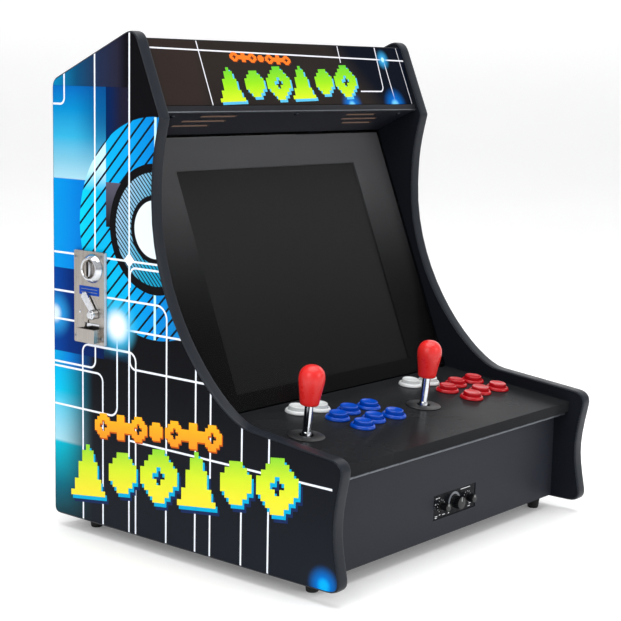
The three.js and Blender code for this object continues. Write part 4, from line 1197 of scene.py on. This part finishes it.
def plain_stage():
    """A pale floor that curves up into a backdrop."""
    mesh = bmesh.new()
    rings = []
    profile = [(-9.0, 0.0)]
    for i in range(13):
        angle = math.radians(90 * i / 12)
        profile.append((5.0 + 3.0 * math.sin(angle), 3.0 - 3.0 * math.cos(angle)))
    profile.append((8.0, 12.0))
    view = Vector((math.sin(VIEW_TURN), math.cos(VIEW_TURN), 0))
    across = Vector((view.y, -view.x, 0))
    for reach, height in profile:
        rings.append([mesh.verts.new(view * reach + across * x + Vector((0, 0, height))) for x in (-14, 14)])
    for low, high in zip(rings, rings[1:]):
        mesh.faces.new([low[0], low[1], high[1], high[0]])
    bmesh.ops.recalc_face_normals(mesh, faces=mesh.faces)
    data = bpy.data.meshes.new("studio_floor")
    mesh.to_mesh(data)
    mesh.free()
    data.shade_smooth()
    floor = bpy.data.objects.new("studio_floor", data)
    bpy.context.scene.collection.objects.link(floor)
    paint = Paint("studio_paper")
    paint.set("Base Color", paint.mix(srgb(246, 246, 247), srgb(250, 250, 250), paint.noise(3, 2)))
    paint.set("Roughness", paint.ramp(paint.noise(5, 2), 0.3, 0.7, 0.85, 0.95))
    _, _, height = paint.parts()
    paint.set("Emission Color", (1.0, 1.0, 1.0, 1.0))
    paint.set("Emission Strength", paint.ramp(height, 0, 2500, 0.12, 0.7))
    data.materials.append(paint.material)


def soft_light(name, place, aim, width, height, watts):
    light = bpy.data.lights.new(name, "AREA")
    light.shape = "RECTANGLE"
    light.size, light.size_y = width, height
    light.energy = watts
    lamp = bpy.data.objects.new(name, light)
    lamp.location = place
    lamp.rotation_euler = (Vector(aim) - Vector(place)).to_track_quat("-Z", "Y").to_euler()
    bpy.context.scene.collection.objects.link(lamp)


CAMERA_AZIMUTH = math.radians(-50.05)
CAMERA_ELEVATION = math.radians(8.91)
CAMERA_ROLL = math.radians(1.11)
CAMERA_LENS = 88.35
CAMERA_PLACE = (-1.5905, -1.303, 0.616)
VIEW_TURN = -CAMERA_AZIMUTH


def studio_camera():
    back = Vector((
        math.sin(CAMERA_AZIMUTH) * math.cos(CAMERA_ELEVATION),
        -math.cos(CAMERA_AZIMUTH) * math.cos(CAMERA_ELEVATION),
        math.sin(CAMERA_ELEVATION),
    ))
    level = (-back).cross(Z).normalized()
    upright = level.cross(-back)
    right = level * math.cos(CAMERA_ROLL) + upright * math.sin(CAMERA_ROLL)
    up = upright * math.cos(CAMERA_ROLL) - level * math.sin(CAMERA_ROLL)
    data = bpy.data.cameras.new("camera")
    data.lens = CAMERA_LENS
    data.sensor_width = 36
    camera = bpy.data.objects.new("camera", data)
    camera.matrix_world = axes(Vector(CAMERA_PLACE), right, up, back)
    bpy.context.scene.collection.objects.link(camera)
    bpy.context.scene.camera = camera


plain_stage()
studio_camera()

world = bpy.data.worlds.new("studio")
world.use_nodes = True
world.node_tree.nodes["Background"].inputs["Color"].default_value = (1.0, 1.0, 1.0, 1.0)
world.node_tree.nodes["Background"].inputs["Strength"].default_value = 0.6
bpy.context.scene.world = world

soft_light("overhead", (0.0, -0.2, 2.6), (0, 0, 0.3), 2.6, 2.2, 55)
soft_light("left_key", (-2.6, -0.6, 1.5), (-0.2, 0, 0.35), 1.6, 1.8, 24)
soft_light("front_fill", (0.9, -2.8, 1.3), (0, -0.1, 0.3), 1.8, 1.4, 20)

bpy.context.scene.view_settings.view_transform = "Standard"
